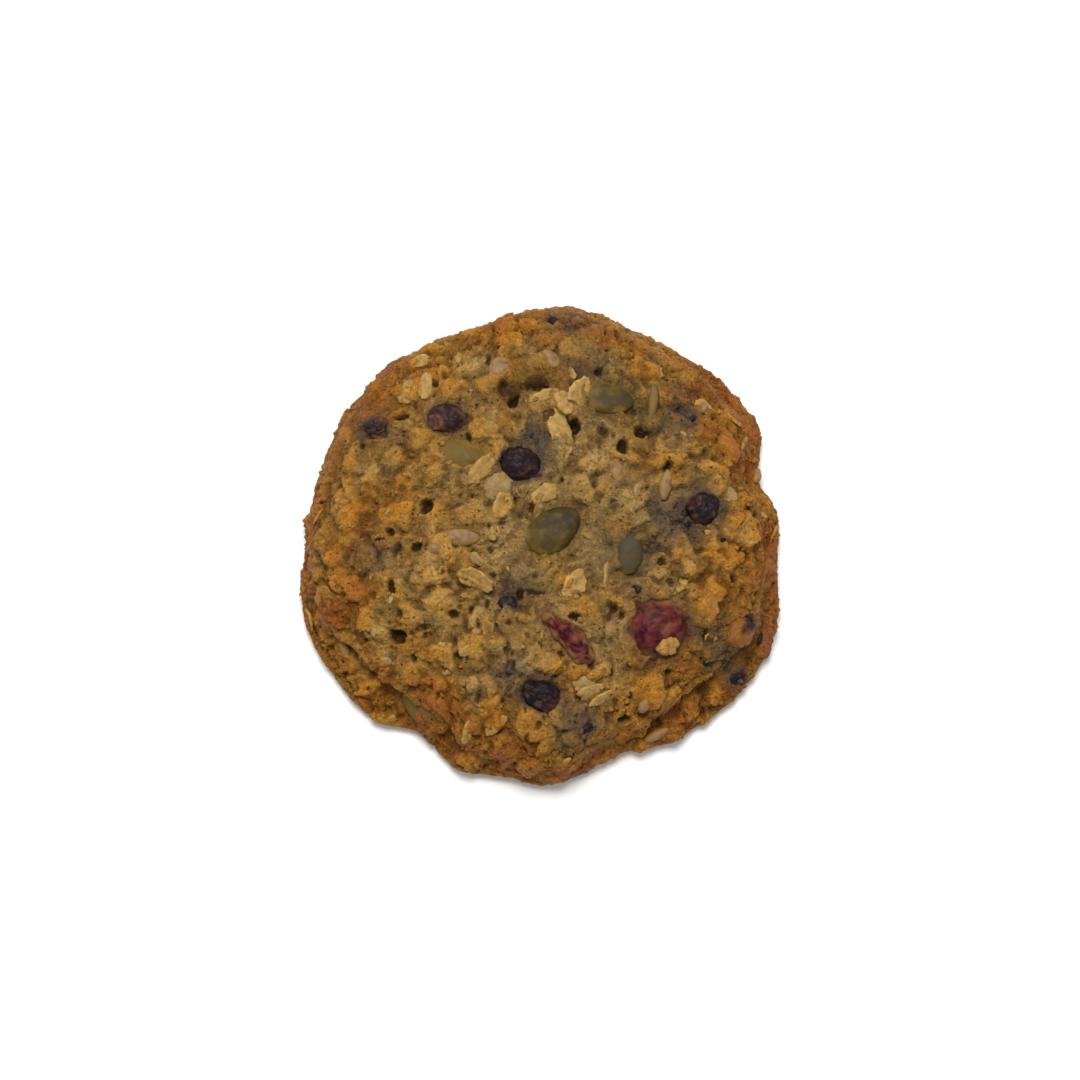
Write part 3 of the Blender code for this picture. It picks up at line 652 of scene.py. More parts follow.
# The crumb's relief over the smooth form, how it leans, and what its colour depends on: crags and
# fine lumps, or the lumps over them where those are higher, less cracks, crease and hollows.
def crumbRelief(points, outs):
    above = np.clip(points[:, 2] / crumb["fade"], 0, 1)
    shake = sum(far * shaken(points, size, seed) for size, far, seed in crumb["shake"])
    moved = points + shake * crumb["shakeShare"]
    crags = sum(high * noise(points, size, seed) for size, high, seed in form["crags"])
    fine = sum(high * lumpy(moved, size, seed) for size, high, seed in crumb["fine"])
    height, mask, lean, toast, chance = allLumps(moved, outs)
    over = height + (crumb["onLumps"] - 1) * fine
    mask = mask * ease(-0.2, 0.4, over)
    both = fine + (over + np.hypot(over, crumb["blend"])) / 2
    relief = crumb["level"] + crumb["crags"] * crags + both - allCracks(moved)
    creaseHeight, half, deep = crumb["crease"]
    wide = swellings(np.arctan2(points[:, 1], points[:, 0]), form["stepLobes"])
    relief -= deep * wide * np.exp(-(((moved[:, 2] - creaseHeight) / half) ** 2))
    tints = {key: np.zeros(len(points)) for key in ("purple", "crimson", "olive")}
    for kind in (blueberry, cranberry, kernel):
        for row, lap, start in zip(kind["rows"], kind["lap"], kind["start"]):
            relief, close = makeRoom(moved, relief, row, start, *kind["room"], lap)
            if kind is not blueberry or lap[1] < 1.5:
                tints[kind["tint"]] = np.maximum(tints[kind["tint"]], close)
    hollow = allHoles(moved * 0.6 + points * 0.4, outs)
    wet = np.clip(softSpots(moved, moist["rows"]), 0, 1)
    upright = crumb["side"] + (1 - crumb["side"]) * ease(0.1, 0.7, outs[:, 2])
    relief = (relief - hollow - moist["depth"] * ease(0.4, 1.0, wet)) * (0.25 + 0.75 * above) * upright
    size, far, seed = crumb["sideways"]
    shift = (far * shaken(points, size, seed) + lean * mask[:, None]) * (above * upright)[:, None]
    return relief, shift, {"mask": mask, "toast": toast, "chance": chance, "hollow": hollow,
                           "wet": wet, "moved": moved, **tints}


# Toast runs from 0 (moist dough) to 1 (dark crust): the rim, the browned places, what stands up,
# the toast of the lumps and two noises add to it.
def crumbToast(points, moved, rise, part):
    edgeRadius = np.hypot(*onForm(np.arctan2(points[:, 1], points[:, 0]), 0.9)[:, :2].T)
    reach = np.hypot(points[:, 0], points[:, 1]) / edgeRadius
    rim = ease(*browning["rim"], reach) * browning["rimAmount"]
    toast = browning["middle"] + rim + softSpots(moved, browning["rows"])
    blotches = sum(much * noise(points, size, seed) for size, much, seed in browning["blotches"])
    toast += blotches + 0.20 * (rise - 0.5)
    much, middle = browning["lumps"]
    return np.clip(toast + much * part["mask"] * (part["toast"] - middle), 0, 1)


# The top is a square grid laid over the form as a disc, moved outwards by the relief and sideways
# by its lean; the underside is a flatter disc, and a strip of triangles joins the two edges.
def crumbPiece():
    n = crumb["cells"]
    v, u = np.meshgrid(np.linspace(-1, 1, n + 1), np.linspace(-1, 1, n + 1), indexing="ij")
    share, theta = discFromSquare(u.ravel(), v.ravel())
    points, outs = onForm(theta, share), outOfForm(theta, share)
    relief, shift, part = crumbRelief(points, outs)
    moved = part["moved"]
    solid = points + outs * relief[:, None] + shift
    solid[:, 2] = np.maximum(solid[:, 2], 0)
    grid = relief.reshape(n + 1, n + 1)
    # How far each point stands above its surroundings, near and wide: low places take the darker valley
    # colour, partly painted shade
    near, wide = grid - smoothed(grid, 12), grid - smoothed(grid, 90)
    rise = np.clip(0.5 + smoothed(0.55 * near + 0.60 * wide, 1).ravel(), 0, 1)
    stain = stains["strength"] * softSpots(moved, stains["rows"]) * (1 + 0.6 * noise(points, 3.0, 43))
    toast = crumbToast(points, moved, rise, part)
    pale = 0.30 + part["mask"] * (part["chance"] - 0.15)
    values = {
        "toast": smoothed(toast.reshape(n + 1, n + 1), 8).ravel(),
        "rise": rise,
        "pale": smoothed(pale.reshape(n + 1, n + 1), 3).ravel(),
        "stain": np.clip(stain + stains["besideFruit"] * part["purple"], 0, 1),
        "crimson": part["crimson"],
        "olive": part["olive"],
        "wet": part["wet"],
        # painted shade: the holes and pores are darkened by their depth
        "pit": np.clip(part["hollow"] / 1.2, 0, 1),
    }
    room = part["purple"] + part["crimson"] + part["olive"]
    ready = np.flatnonzero((solid[:, 2] > grains["above"]) & (values["pit"] < 0.05) & (room < 0.05))

    # Underside: flat where it lay on the tray, with shallow pits between
    m = n // 2
    v, u = np.meshgrid(np.linspace(-1, 1, m + 1), np.linspace(-1, 1, m + 1), indexing="ij")
    share, theta = discFromSquare(u, v)
    under = onForm(theta, 1.0) * (0.985 * share)[..., None]
    pits = 0.5 * noise(under, 7.0, 44) + 0.35 * lumpy(under, 2.2, 45) + 0.15 * noise(under, 1.1, 46)
    under[..., 2] = np.clip(pits - 0.10, 0, 1.3) * ease(1.0, 0.94, share)
    underValues = {key: np.zeros_like(share) for key in values}
    underValues["toast"] = np.clip(0.86 + 0.34 * noise(under, 9.0, 47) - 0.35 * under[..., 2], 0, 1)
    # deeper pits take less rise and more pit: painted shade in the underside's hollows
    underValues["rise"] = np.clip(0.62 - 0.5 * under[..., 2], 0, 1)
    underValues["pale"] += 0.4
    underValues["pit"] = np.clip(under[..., 2] - 0.6, 0, 1)

    outer = edgeOrder(n)
    inner = (n + 1) ** 2 + edgeOrder(m)
    pair = np.roll(outer, -1)[::2], np.roll(outer, -2)[::2], np.roll(inner, -1)
    strip = [np.stack([inner, pair[0], outer[::2]], -1), np.stack([inner, pair[2], pair[0]], -1),
             np.stack([pair[2], pair[1], pair[0]], -1)]
    faces = gridFaces(n).tolist() + gridFaces(m, (n + 1) ** 2)[:, ::-1].tolist()
    faces += np.concatenate(strip).tolist()
    every = np.vstack([solid, under.reshape(-1, 3)])
    joined = {key: np.concatenate([values[key].ravel(), underValues[key].ravel()]) for key in values}
    return addMesh("cookieCrumb", every, faces, joined), solid, outs, values, ready


# Loose toppings on the crumb

# Flakes whose edges show:
# x, y, length, width, thickness, turn, tilt in degrees, lift, tone (0 steamed, 1 toasted)
oatFlake = {
    "rows": (
        (4.0, 18.4, 7.6, 4.6, 0.8, 105, 20, -0.15, 0.15), (7.6, 26.0, 5.8, 3.8, 0.8, 55, 30, -0.10, 0.15),
        (1.2, 24.6, 6.0, 4.2, 0.8, 10, 24, -0.30, 0.25), (-6.9, 4.6, 5.0, 3.4, 0.8, 70, 34, -0.05, 0.20),
        (-10.8, 11.2, 6.4, 3.2, 0.8, 42, 24, -0.20, 0.25), (-7.6, 8.4, 7.4, 5.2, 3.0, 26, 6, -0.55, 0.00),
        (0.9, 6.6, 5.0, 3.4, 1.6, 30, 8, -0.55, 0.25), (4.6, 24.0, 5.0, 3.6, 1.6, 120, 18, -0.20, 0.20),
        (6.4, -11.0, 6.8, 4.2, 0.8, 68, 18, -0.05, 0.15), (12.6, -8.9, 5.0, 3.0, 0.8, 86, 66, -0.05, 0.00),
        (-11.6, -9.2, 7.4, 3.4, 0.8, -28, 36, -0.05, 0.15),
        (-13.2, -37.0, 4.6, 2.6, 0.8, 82, 58, -0.15, 0.30),
        (19.9, 31.6, 7.4, 3.8, 0.8, -5, 10, -0.50, 0.60), (9.4, -28.4, 7.4, 3.8, 0.7, 8, 10, -0.30, 0.05),
        (10.4, -29.8, 7.0, 3.4, 0.7, 14, 20, -0.25, 0.15), (11.8, -31.0, 5.6, 2.6, 0.7, 20, 30, -0.25, 0.20),
        (18.0, 7.5, 2.4, 1.4, 1.0, 70, 30, 0.10, 0.00), (-11.4, -5.6, 3.2, 1.9, 1.1, -48, 20, -0.15, 0.00),
        (-19.4, -8.4, 4.4, 3.6, 0.8, 25, 26, -0.15, 0.30), (-28.4, -24.2, 2.2, 1.8, 0.8, 20, 24, -0.25, 0.00),
        (-16.9, -26.4, 3.0, 1.9, 0.8, 10, 24, -0.25, 0.10), (-13.6, -22.6, 2.6, 1.8, 0.8, 40, 24, -0.2, 0.05),
        (-21.3, 28.0, 5.4, 2.8, 1.4, 84, 8, -0.35, 0.20), (-24.4, 27.0, 5.4, 3.4, 1.0, 78, 8, -0.35, 0.30),
        (35.6, 7.2, 4.8, 3.2, 1.8, -35, 10, -0.20, 0.00), (-22.6, 33.4, 4.2, 2.6, 0.8, 20, 20, -0.30, 0.25),
    ),
    "scattered": 60,
    "seed": 51,
    "apart": 5.4,
    "thickness": 0.7,
    "length": (2.0, 5.0),
    "sunk": (0.45, 0.85),
    "tone": (0.05, 0.50),
    "sway": ((2, 0.06), (3, 0.07), (5, 0.05), (9, 0.035), (14, 0.03)),  # times round, share of the radius
    "ripple": 0.18,
    "crease": 0.07,
    "browned": (34, 0.3),  # mm from the middle beyond which they are browner, and how much
}
grains = {
    "count": 4400,
    "size": (0.20, 0.62),  # mm, half across
    "sunk": 0.50,
    "above": 2.5,  # mm over the tray
    "seed": 61,
}
# Sunflower kernels: x, y, length, width, turn, tilt, lift
sunflowerKernel = {
    "rows": (
        (-14.6, -1.6, 7.0, 3.3, -2, 6, 0.25), (-7.3, 31.5, 5.4, 4.2, 60, 10, 0.1),
        (2.0, 33.0, 4.4, 3.0, 130, 8, 0.1), (14.3, 11.4, 4.8, 2.9, 100, 8, 0.1),
        (23.4, 8.5, 5.8, 2.4, 80, 30, 0.2), (30.7, 24.3, 2.6, 1.6, 80, 10, 0.2),
        (19.1, -32.1, 2.8, 1.9, 60, 10, 0.6), (-19.2, -4.0, 2.6, 2.2, 10, 10, 0.2),
        (-36.2, -20.6, 4.8, 2.2, -65, 60, 0.3), (41.4, 13.0, 3.6, 1.8, 70, 40, 0.0),
        (21.8, -36.4, 5.6, 2.4, 26, 55, 0.2),
    ),
    "thickness": 2.0,
    "sunk": 0.35,
}


# Many small shapes in one mesh: points, faces and values of each, one after another.
def joinedPieces(name, shapes):
    points, faces, values, start = [], [], {}, 0
    for spots, cells, extra in shapes:
        points.append(spots)
        faces += [[corner + start for corner in face] for face in cells]
        start += len(spots)
        for key, value in extra.items():
            values.setdefault(key, []).append(np.broadcast_to(value, len(spots)))
    return addMesh(name, np.vstack(points), faces, {key: np.concatenate(v) for key, v in values.items()})


flakeBall = ball(10, 44)


# A rolled oat is a ball pressed thin: its outline sways with five cosines, its faces cup and
# ripple, and a crease runs along it.
def flakeShape(length, width, thickness, draw):
    points, faces = flakeBall
    x, y, z = points.T
    around = np.arctan2(y, x)
    sway = (np.abs(np.cos(around)) ** 2.3 + np.abs(np.sin(around)) ** 2.3) ** (-1 / 2.3)
    sway = sway + sum(far * np.cos(turns * around + draw.uniform(0, 6.3)) for turns, far in oatFlake["sway"])
    x, y = x * sway, y * sway
    cup = draw.uniform(-0.5, 0.6) * (x**2 + 0.6 * y**2) * (width / 5)
    spots = np.stack([x * length / 2, y * width / 2, 0 * x], -1)
    ripple = oatFlake["ripple"] * noise(spots + draw.uniform(0, 50, 3), 1.6, 52)
    crease = oatFlake["crease"] * np.exp(-((y - 0.12 * np.sin(3 * x)) / 0.12) ** 2) * (z > 0)
    plump = np.sign(z) * np.abs(z) ** 0.6 * thickness / 2
    spots[:, 2] = plump + cup + ripple - crease
    return spots, faces


# Seat on the crumb itself: its point nearest to a place seen from above.
def crumbSeat(x, y, solid, outs):
    away = np.hypot(solid[:, 0] - x, solid[:, 1] - y)
    spot = np.argmin(np.where(solid[:, 2] > 3, away, 99))
    out = outs[spot]
    along = unit(np.array([1.0, 0, 0]) - out * out[0])
    return solid[spot], np.array([along, np.cross(out, along), out])


# The named flakes, then scattered ones that keep clear of the toppings and lie half sunk.
def flakesPiece(solid, outs):
    draw = np.random.default_rng(oatFlake["seed"])
    edge = np.hypot(*flakeBall[0][:, :2].T)
    shapes = []
    for x, y, length, width, thickness, turn, tilt, lift, tone in oatFlake["rows"]:
        place, axes = crumbSeat(x, y, solid, outs)
        spots, faces = flakeShape(length, width, thickness, draw)
        spots = spots @ turned(axes, turn, tilt) + place + axes[2] * lift
        shapes.append((spots, faces, {"tone": tone, "edge": edge}))
    toppings = [toppingSeat(row) for row in blueberry["rows"] + cranberry["rows"] + kernel["rows"]]
    for place, axes in spread(oatFlake["scattered"], oatFlake["apart"], oatFlake["seed"]):
        length, tone = draw.uniform(*oatFlake["length"]), draw.uniform(*oatFlake["tone"])
        tilt, turn = draw.uniform(4, 30), draw.uniform(0, 360)
        if any(np.linalg.norm(place - seat[0]) < seat[2].max() + 0.4 * length for seat in toppings):
            continue
        spot = np.argmin(np.linalg.norm(solid - place, axis=1))
        spots, faces = flakeShape(length, length * draw.uniform(0.5, 0.8), oatFlake["thickness"], draw)
        spots = spots @ turned(axes, turn, tilt) + solid[spot] - axes[2] * draw.uniform(*oatFlake["sunk"])
        beyond, more = oatFlake["browned"]
        tone = tone + more * float(np.hypot(*place[:2]) > beyond)
        shapes.append((spots, faces, {"tone": tone, "edge": edge}))
    return joinedPieces("oatFlakes", shapes)


# Crumbs: many small knobs sunk halfway into the dough, each a ball with seven corners round it,
# stretched and turned by chance. They take the colour values of the dough under them.
def crumbsPiece(solid, outs, values, ready):
    draw = np.random.default_rng(grains["seed"])
    spot = draw.choice(ready, grains["count"], replace=False)
    points, faces = ball(4, 7)
    small, large = grains["size"]
    size = small + (large - small) * draw.uniform(size=(len(spot), 1)) ** 2
    stretch = size * draw.uniform(0.6, 1.4, (len(spot), 3))
    turn = np.linalg.qr(draw.normal(size=(len(spot), 3, 3)))[0]
    turn *= np.sign(np.linalg.det(turn))[:, None, None]
    rough = draw.uniform(0.75, 1.2, (len(spot), len(points), 1))
    spots = np.einsum("kpi,kij->kpj", points * rough * stretch[:, None], turn)
    spots = spots + (solid[spot] - outs[spot] * size * grains["sunk"])[:, None]
    shift = np.arange(len(spot)) * len(points)
    cells = [tuple(corner + step for corner in face) for step in shift for face in faces]
    named = {key: np.repeat(value[spot], len(points)) for key, value in values.items()}
    # the crumbs stand above the dough, so they take less of the valley colour's painted shade
    named["rise"] = np.clip(named["rise"] + 0.12, 0, 1)
    named["pale"] = np.repeat(draw.uniform(0.3, 0.8, len(spot)), len(points))
    return addMesh("looseCrumbs", spots.reshape(-1, 3), cells, named)


# Bits of berry skin: x, y, length, width, turn
skinBits = {
    "rows": (
        (18.2, -10.9, 2.4, 2.2, 0), (2.5, 41.4, 2.8, 1.9, 80), (28.2, 21.9, 2.0, 1.8, 0),
        (-5.9, -13.8, 3.9, 2.4, 20), (38.9, -15.4, 2.8, 1.2, -35), (41.0, -18.6, 2.6, 1.2, 70),
        (36.6, -26.0, 3.9, 2.4, 20), (31.0, -24.4, 2.2, 1.2, -20), (26.8, 2.8, 2.2, 1.6, 60),
        (-1.2, 17.8, 3.4, 1.6, 70), (33.8, -1.6, 1.4, 1.0, 20), (-40.6, 6.6, 1.0, 0.9, 0),
        (8.4, -36.6, 3.0, 1.6, 10), (-29.6, -1.6, 2.0, 1.0, 10),
    ),
    "thickness": 1.1,
    "sunk": 0.25,
}


# A bit of skin is a small flat ball, pulled in by wrinkles and sunk in the dough.
def skinBitsPiece(solid, outs):
    shapes = []
    for number, (x, y, length, width, turn) in enumerate(skinBits["rows"]):
        points, faces = ball(16, 28)
        spots = points * (length / 2, width / 2, skinBits["thickness"] / 2)
        folds = lumpy(spots + 7 * number, 0.9, 59)
        spots = spots + points * (0.12 * folds + 0.25 * noise(spots + 7 * number, 1.8, 60))[:, None]
        place, axes = crumbSeat(x, y, solid, outs)
        extra = {"calyx": 0.0, "fold": folds, "browned": 0.5,
                 "film": filmOver(points, spots + 7 * number, 0.90, 160, 0.15)}
        spots = spots @ turned(axes, turn) + place - axes[2] * skinBits["sunk"]
        shapes.append((spots, faces, extra))
    return joinedPieces("berrySkinBits", shapes)


# A hulled sunflower kernel is a ball drawn to a point at one end.
def sunflowerPiece(solid, outs):
    shapes = []
    for number, (x, y, length, width, turn, tilt, lift) in enumerate(sunflowerKernel["rows"]):
        points, faces = ball(20, 32)
        narrow = 1 - 0.12 * ease(-0.2, 1.0, points[:, 0])
        half = np.array([length / 2, width / 2, sunflowerKernel["thickness"] / 2])
        spots = points * half * np.stack([np.ones_like(narrow), narrow, 0.4 + 0.6 * narrow], -1)
        spots = spots + points * (0.08 * noise(spots + 9 * number, 1.4, 55))[:, None]
        place, axes = crumbSeat(x, y, solid, outs)
        place = place + axes[2] * (lift - sunflowerKernel["sunk"])
        extra = {"film": filmOver(points, spots + 9 * number, 0.60, 150, 0.35)}
        shapes.append((spots @ turned(axes, turn, tilt) + place, faces, extra))
    return joinedPieces("sunflowerKernels", shapes)


# A ball with coarse and fine lumps, set on the cranberry
def cranberryOatPiece():
    x, y, length, width, thickness, turn = oatOnCranberry["row"]
    place, axes = seatOnTop(x, y)
    points, faces = ball(36, 52)
    spots = points * (length / 2, width / 2, thickness / 2)
    rough = 0.30 * lumpy(spots, 1.3, 57) + 0.12 * noise(spots, 0.5, 58)
    spots = spots + points * rough[:, None]
    spots = spots @ turned(axes, turn, 8) + place + axes[2] * oatOnCranberry["lift"]
    values = {"tone": np.full(len(spots), 0.45), "edge": np.full(len(spots), 0.8)}
    return addMesh("oatBitOnCranberry", spots, faces, values)


# Materials

# A colour written as on the screen becomes its light's red, green and blue.
def fromHex(text):
    parts = np.array([int(text[k:k + 2], 16) for k in (1, 3, 5)]) / 255
    linear = np.where(parts <= 0.04045, parts / 12.92, ((parts + 0.055) / 1.055) ** 2.4)
    return (*linear, 1.0)


# Gives a socket a value, or a link from a socket or from a node's first output.
def feed(socket, value):
    if isinstance(value, bpy.types.Node):
        value = value.outputs[0]
    if isinstance(value, bpy.types.NodeSocket):
        socket.id_data.links.new(value, socket)
    else:
        socket.default_value = value


# Adds a node with its settings and what goes into its sockets.
def addNode(tree, kind, inputs, **settings):
    node = tree.nodes.new("ShaderNode" + kind)
    for key, value in settings.items():
        setattr(node, key, value)
    for key, value in inputs.items():
        feed(node.inputs[key], value)
    return node


def newMaterial(name):
    material = bpy.data.materials.new(name)
    material.use_nodes = True
    return material, material.node_tree, material.node_tree.nodes["Principled BSDF"]


# Object coordinates in millimetres
def inMillimetres(tree):
    place = addNode(tree, "TexCoord", {}).outputs["Object"]
    return addNode(tree, "Mapping", {"Scale": (1 / mm, 1 / mm, 1 / mm), "Vector": place})


# What a mesh keeps for each of its points under this name
def ownValue(tree, key):
    return addNode(tree, "Attribute", {}, attribute_name=key).outputs["Fac"]


# Noise with its scale per mm
def noiseIn(tree, spot, scale, detail, roughness=0.5):
    return addNode(tree, "TexNoise", {"Vector": spot, "Scale": scale, "Detail": detail,
                                      "Roughness": roughness})


# One step of reckoning with sockets and numbers
def calc(tree, operation, *terms, **settings):
    return addNode(tree, "Math", dict(enumerate(terms)), operation=operation, **settings)


# The span from low to high laid over the one from least to most
def ranged(tree, value, low, high, least=0.0, most=1.0):
    return addNode(tree, "MapRange", {"Value": value, "From Min": low, "From Max": high,
                                      "To Min": least, "To Max": most})


# Colours by a value, each stop a place and its colour
def rampOf(tree, value, stops):
    node = addNode(tree, "ValToRGB", {"Fac": value})
    while len(node.color_ramp.elements) < len(stops):
        node.color_ramp.elements.new(0.5)
    for element, (position, colour) in zip(node.color_ramp.elements, stops):
        element.position = position
        element.color = fromHex(colour)
    return node


# The colour turns to the other one by a share.
def towards(tree, colour, other, share):
    other = fromHex(other) if isinstance(other, str) else other
    return addNode(tree, "MixRGB", {"Fac": share, "Color1": colour, "Color2": other})


def times(tree, colour, light):
    return addNode(tree, "MixRGB", {"Fac": 1.0, "Color1": colour, "Color2": light}, blend_type="MULTIPLY")


# Under its film of dough
def filmed(tree, colour, dough, most):
    return towards(tree, colour, dough, calc(tree, "MULTIPLY", ownValue(tree, "film"), most))


# The shader's colour, and the finish's roughness, sheen, bump and way of letting light in
def dress(shader, finish, colour, height):
    strength, depth = finish["bump"]
    bump = addNode(shader.id_data, "Bump", {"Strength": strength, "Distance": depth * mm, "Height": height})
    for key, value in (("Base Color", colour), ("Roughness", finish["rough"]),
                       ("Specular IOR Level", finish["sheen"]), ("Normal", bump)):
        feed(shader.inputs[key], value)
    if "lightIn" in finish:
        share, radius, reach = finish["lightIn"]
        shader.inputs["Subsurface Weight"].default_value = share
        shader.inputs["Subsurface Radius"].default_value = radius
        shader.inputs["Subsurface Scale"].default_value = reach * mm


# How a finish is written: rough and sheen are the shader's roughness and specular level; bump is
# its strength and depth in mm; lightIn is its share, how far red, green and blue go and the depth in
# mm; a noise is its scale per mm, its detail and its roughness.

crumbFinish = {
    # colours in the valleys and on the lumps, by how far the dough is toasted; the darker valley colours are
    # partly the dough's own grey olive and partly painted shade
    "valley": ((0.0, "#664B27"), (0.35, "#684518"), (0.60, "#6F420E"), (0.80, "#754009"), (1.0, "#733C08")),
    "lump": ((0.0, "#9F804A"), (0.25, "#A07A3D"), (0.45, "#A4752B"), (0.62, "#A16C20"), (0.80, "#995F1F"),
             (1.0, "#8F5321")),
    # what tints it, the colour and the most of it; pit is painted shade, darkening the holes and pores by
    # their depth
    "tints": (("stain", "#3A3532", 0.76), ("crimson", "#5C2C22", 0.55), ("olive", "#5A4A20", 0.50),
              ("wet", "#3A240A", 0.85), ("pit", "#241402", 0.80)),
    # colour and most of the painted shade in the pin pores
    "shadedPore": ("#241402", 0.80),
    "speck": ("#BBA26C", 0.45),
    "lumpLight": (0.78, 1.12),
    # how much the grain and the painted shade between the knobs lighten and darken it
    "grainAndCreaseShade": (0.80, 1.20),
    "crumbLight": (0.82, 1.16),
    "blotch": (0.33, 3.0, 0.5),
    "mottle": (1.1, 5.0, 0.65),
    "grain": (1 / 0.36, 3.0, 0.7),
    "glint": (1 / 0.60, 1.0),
    "knobSpacing": 0.62,  # mm
    "poreSpacing": 1.1,
    "poreShare": 0.38,
    "rough": (0.46, 0.28),  # dry and moist
    "sheen": (0.12, 0.60),  # between the glints and at them
    "bump": (0.85, 0.38),
    "lightIn": (0.25, (1.0, 0.5, 0.15), 0.9),
}


# Baked oat dough: a dry, granular crumb, grey olive in its valleys, tan to golden on its lumps
# and orange brown where it is toasted, matt except where fruit has made it moist. Its valleys,
# holes and pin pores and the creases between its knobs are darkened with painted shade, and
# its pale specks are partly painted glints.
def bakedOatDough():
    material, tree, shader = newMaterial("bakedOatDough")
    spot = inMillimetres(tree)
    blotch, mottle, grain, glint = (noiseIn(tree, spot, *crumbFinish[key])
                                    for key in ("blotch", "mottle", "grain", "glint"))
    shift = addNode(tree, "VectorMath", {0: mottle.outputs["Color"], 1: (0.5, 0.5, 0.5)}, operation="ADD")
    shift = addNode(tree, "VectorMath", {0: shift, 1: spot}, operation="ADD")
    knobs = addNode(tree, "TexVoronoi", {"Scale": 1 / crumbFinish["knobSpacing"], "Vector": shift})
    # how far it is toasted, with blotches
    brown = calc(tree, "MULTIPLY_ADD", blotch, 0.5, -0.25)
    brown = calc(tree, "ADD", ownValue(tree, "toast"), brown, use_clamp=True)
    low, high = (rampOf(tree, brown, crumbFinish[key]) for key in ("valley", "lump"))
    # how far it stands up, with mottles; low dough takes the darker valley colour, partly painted shade
    stand = calc(tree, "MULTIPLY_ADD", mottle, 0.6, -0.30)
    stand = calc(tree, "ADD", stand, ownValue(tree, "rise"))
    colour = towards(tree, low, high, ranged(tree, stand, 0.05, 0.85))
    # some lumps are pale, some dull
    colour = times(tree, colour, ranged(tree, ownValue(tree, "pale"), 0, 1, *crumbFinish["lumpLight"]))
    for key, tint, most in crumbFinish["tints"]:
        colour = towards(tree, colour, tint, calc(tree, "MULTIPLY", ownValue(tree, key), most))
    # grains lighten and darken it, and painted shade darkens the creases between the knobs
    light = calc(tree, "SUBTRACT", grain, calc(tree, "MULTIPLY", knobs, 0.5))
    colour = times(tree, colour, ranged(tree, light, 0.0, 0.5, *crumbFinish["grainAndCreaseShade"]))
    # every crumb has its own brightness
    chance = addNode(tree, "SeparateColor", {"Color": knobs.outputs["Color"]})
    colour = times(tree, colour, ranged(tree, chance, 0, 1, *crumbFinish["crumbLight"]))
    # pin pores: small dots at some of the cell points, darkened with painted shade
    cells = addNode(tree, "TexVoronoi", {"Scale": 1 / crumbFinish["poreSpacing"], "Vector": shift})
    dot = ranged(tree, cells, 0.10, 0.24, 1.0, 0.0)
    chance = addNode(tree, "SeparateColor", {"Color": cells.outputs["Color"]})
    some = calc(tree, "GREATER_THAN", chance, 1 - crumbFinish["poreShare"])
    shadedPore = calc(tree, "MULTIPLY", dot, some)
    dark, most = crumbFinish["shadedPore"]
    colour = towards(tree, colour, dark, calc(tree, "MULTIPLY", shadedPore, most))
    # pale specks at the grain's highest spots, partly oat meal and partly painted glints
    pale, most = crumbFinish["speck"]
    colour = towards(tree, colour, pale, ranged(tree, grain, 0.64, 0.76, 0.0, most))
    # glints of fat and sugar on some of the crumbs
    sheen = ranged(tree, glint, 0.64, 0.76, *crumbFinish["sheen"])
    rough = ranged(tree, ownValue(tree, "wet"), 0, 1, *crumbFinish["rough"])
    # granular bump, cut by the pores
    height = calc(tree, "MULTIPLY_ADD", shadedPore, -0.9, grain)
    height = calc(tree, "MULTIPLY_ADD", mottle, 0.8, height)
    height = calc(tree, "MULTIPLY_ADD", knobs, -0.8, height)
    dress(shader, {**crumbFinish, "rough": rough, "sheen": sheen}, colour, height)
    return material


oatFinish = {
    # steamed, pale, golden and toasted
    "flake": ((0.0, "#9E8252"), (0.12, "#B3904E"), (0.45, "#AA8038"), (0.9, "#9C5E20")),
    "dough": ("#80602C", 0.80),
    "fibreLight": (0.78, 1.18),
    "edgeHighlight": (0.95, 1.12),
    "film": (0.8, 5.0, 0.65),
    "fibre": (3.2, 5.0, 0.65),
    "rough": 0.55,
    "sheen": 0.3,
    "bump": (0.7, 0.3),
    "lightIn": (0.25, (1.0, 0.6, 0.2), 0.8),
}


# Rolled oat: a steamed and flattened groat, buttery yellow with fine fibres, browned by the
# oven at the rim, dusted with dough, with a painted highlight along its edges.
def rolledOat():
    material, tree, shader = newMaterial("rolledOat")
    spot = inMillimetres(tree)
    colour = rampOf(tree, ownValue(tree, "tone"), oatFinish["flake"])
    dough, most = oatFinish["dough"]
    film = noiseIn(tree, spot, *oatFinish["film"])
    colour = towards(tree, colour, dough, ranged(tree, film, 0.40, 0.62, 0.0, most))
    fibre = noiseIn(tree, spot, *oatFinish["fibre"])
    colour = times(tree, colour, ranged(tree, fibre, 0, 1, *oatFinish["fibreLight"]))
    # painted highlight: lighter towards the flakes' thin edges
    colour = times(tree, colour, ranged(tree, ownValue(tree, "edge"), 0.75, 1, *oatFinish["edgeHighlight"]))
    dress(shader, oatFinish, colour, fibre)
    return material


sunflowerFinish = {
    "skin": ((0.30, "#6B4C2D"), (0.50, "#7F5F3C"), (0.72, "#90714D")),
    "dough": ("#8C6C39", 0.8),
    "blotch": (0.9, 4.0),
    "rough": 0.55,
    "sheen": 0.2,
    "bump": (0.3, 0.15),
}


# Hulled sunflower kernel: smooth greyish tan with a faint pink, a satin skin under a film of dough.
def hulledSunflower():
    material, tree, shader = newMaterial("hulledSunflower")
    blotch = noiseIn(tree, inMillimetres(tree), *sunflowerFinish["blotch"])
    colour = filmed(tree, rampOf(tree, blotch, sunflowerFinish["skin"]), *sunflowerFinish["dough"])
    dress(shader, sunflowerFinish, colour, blotch)
    return material


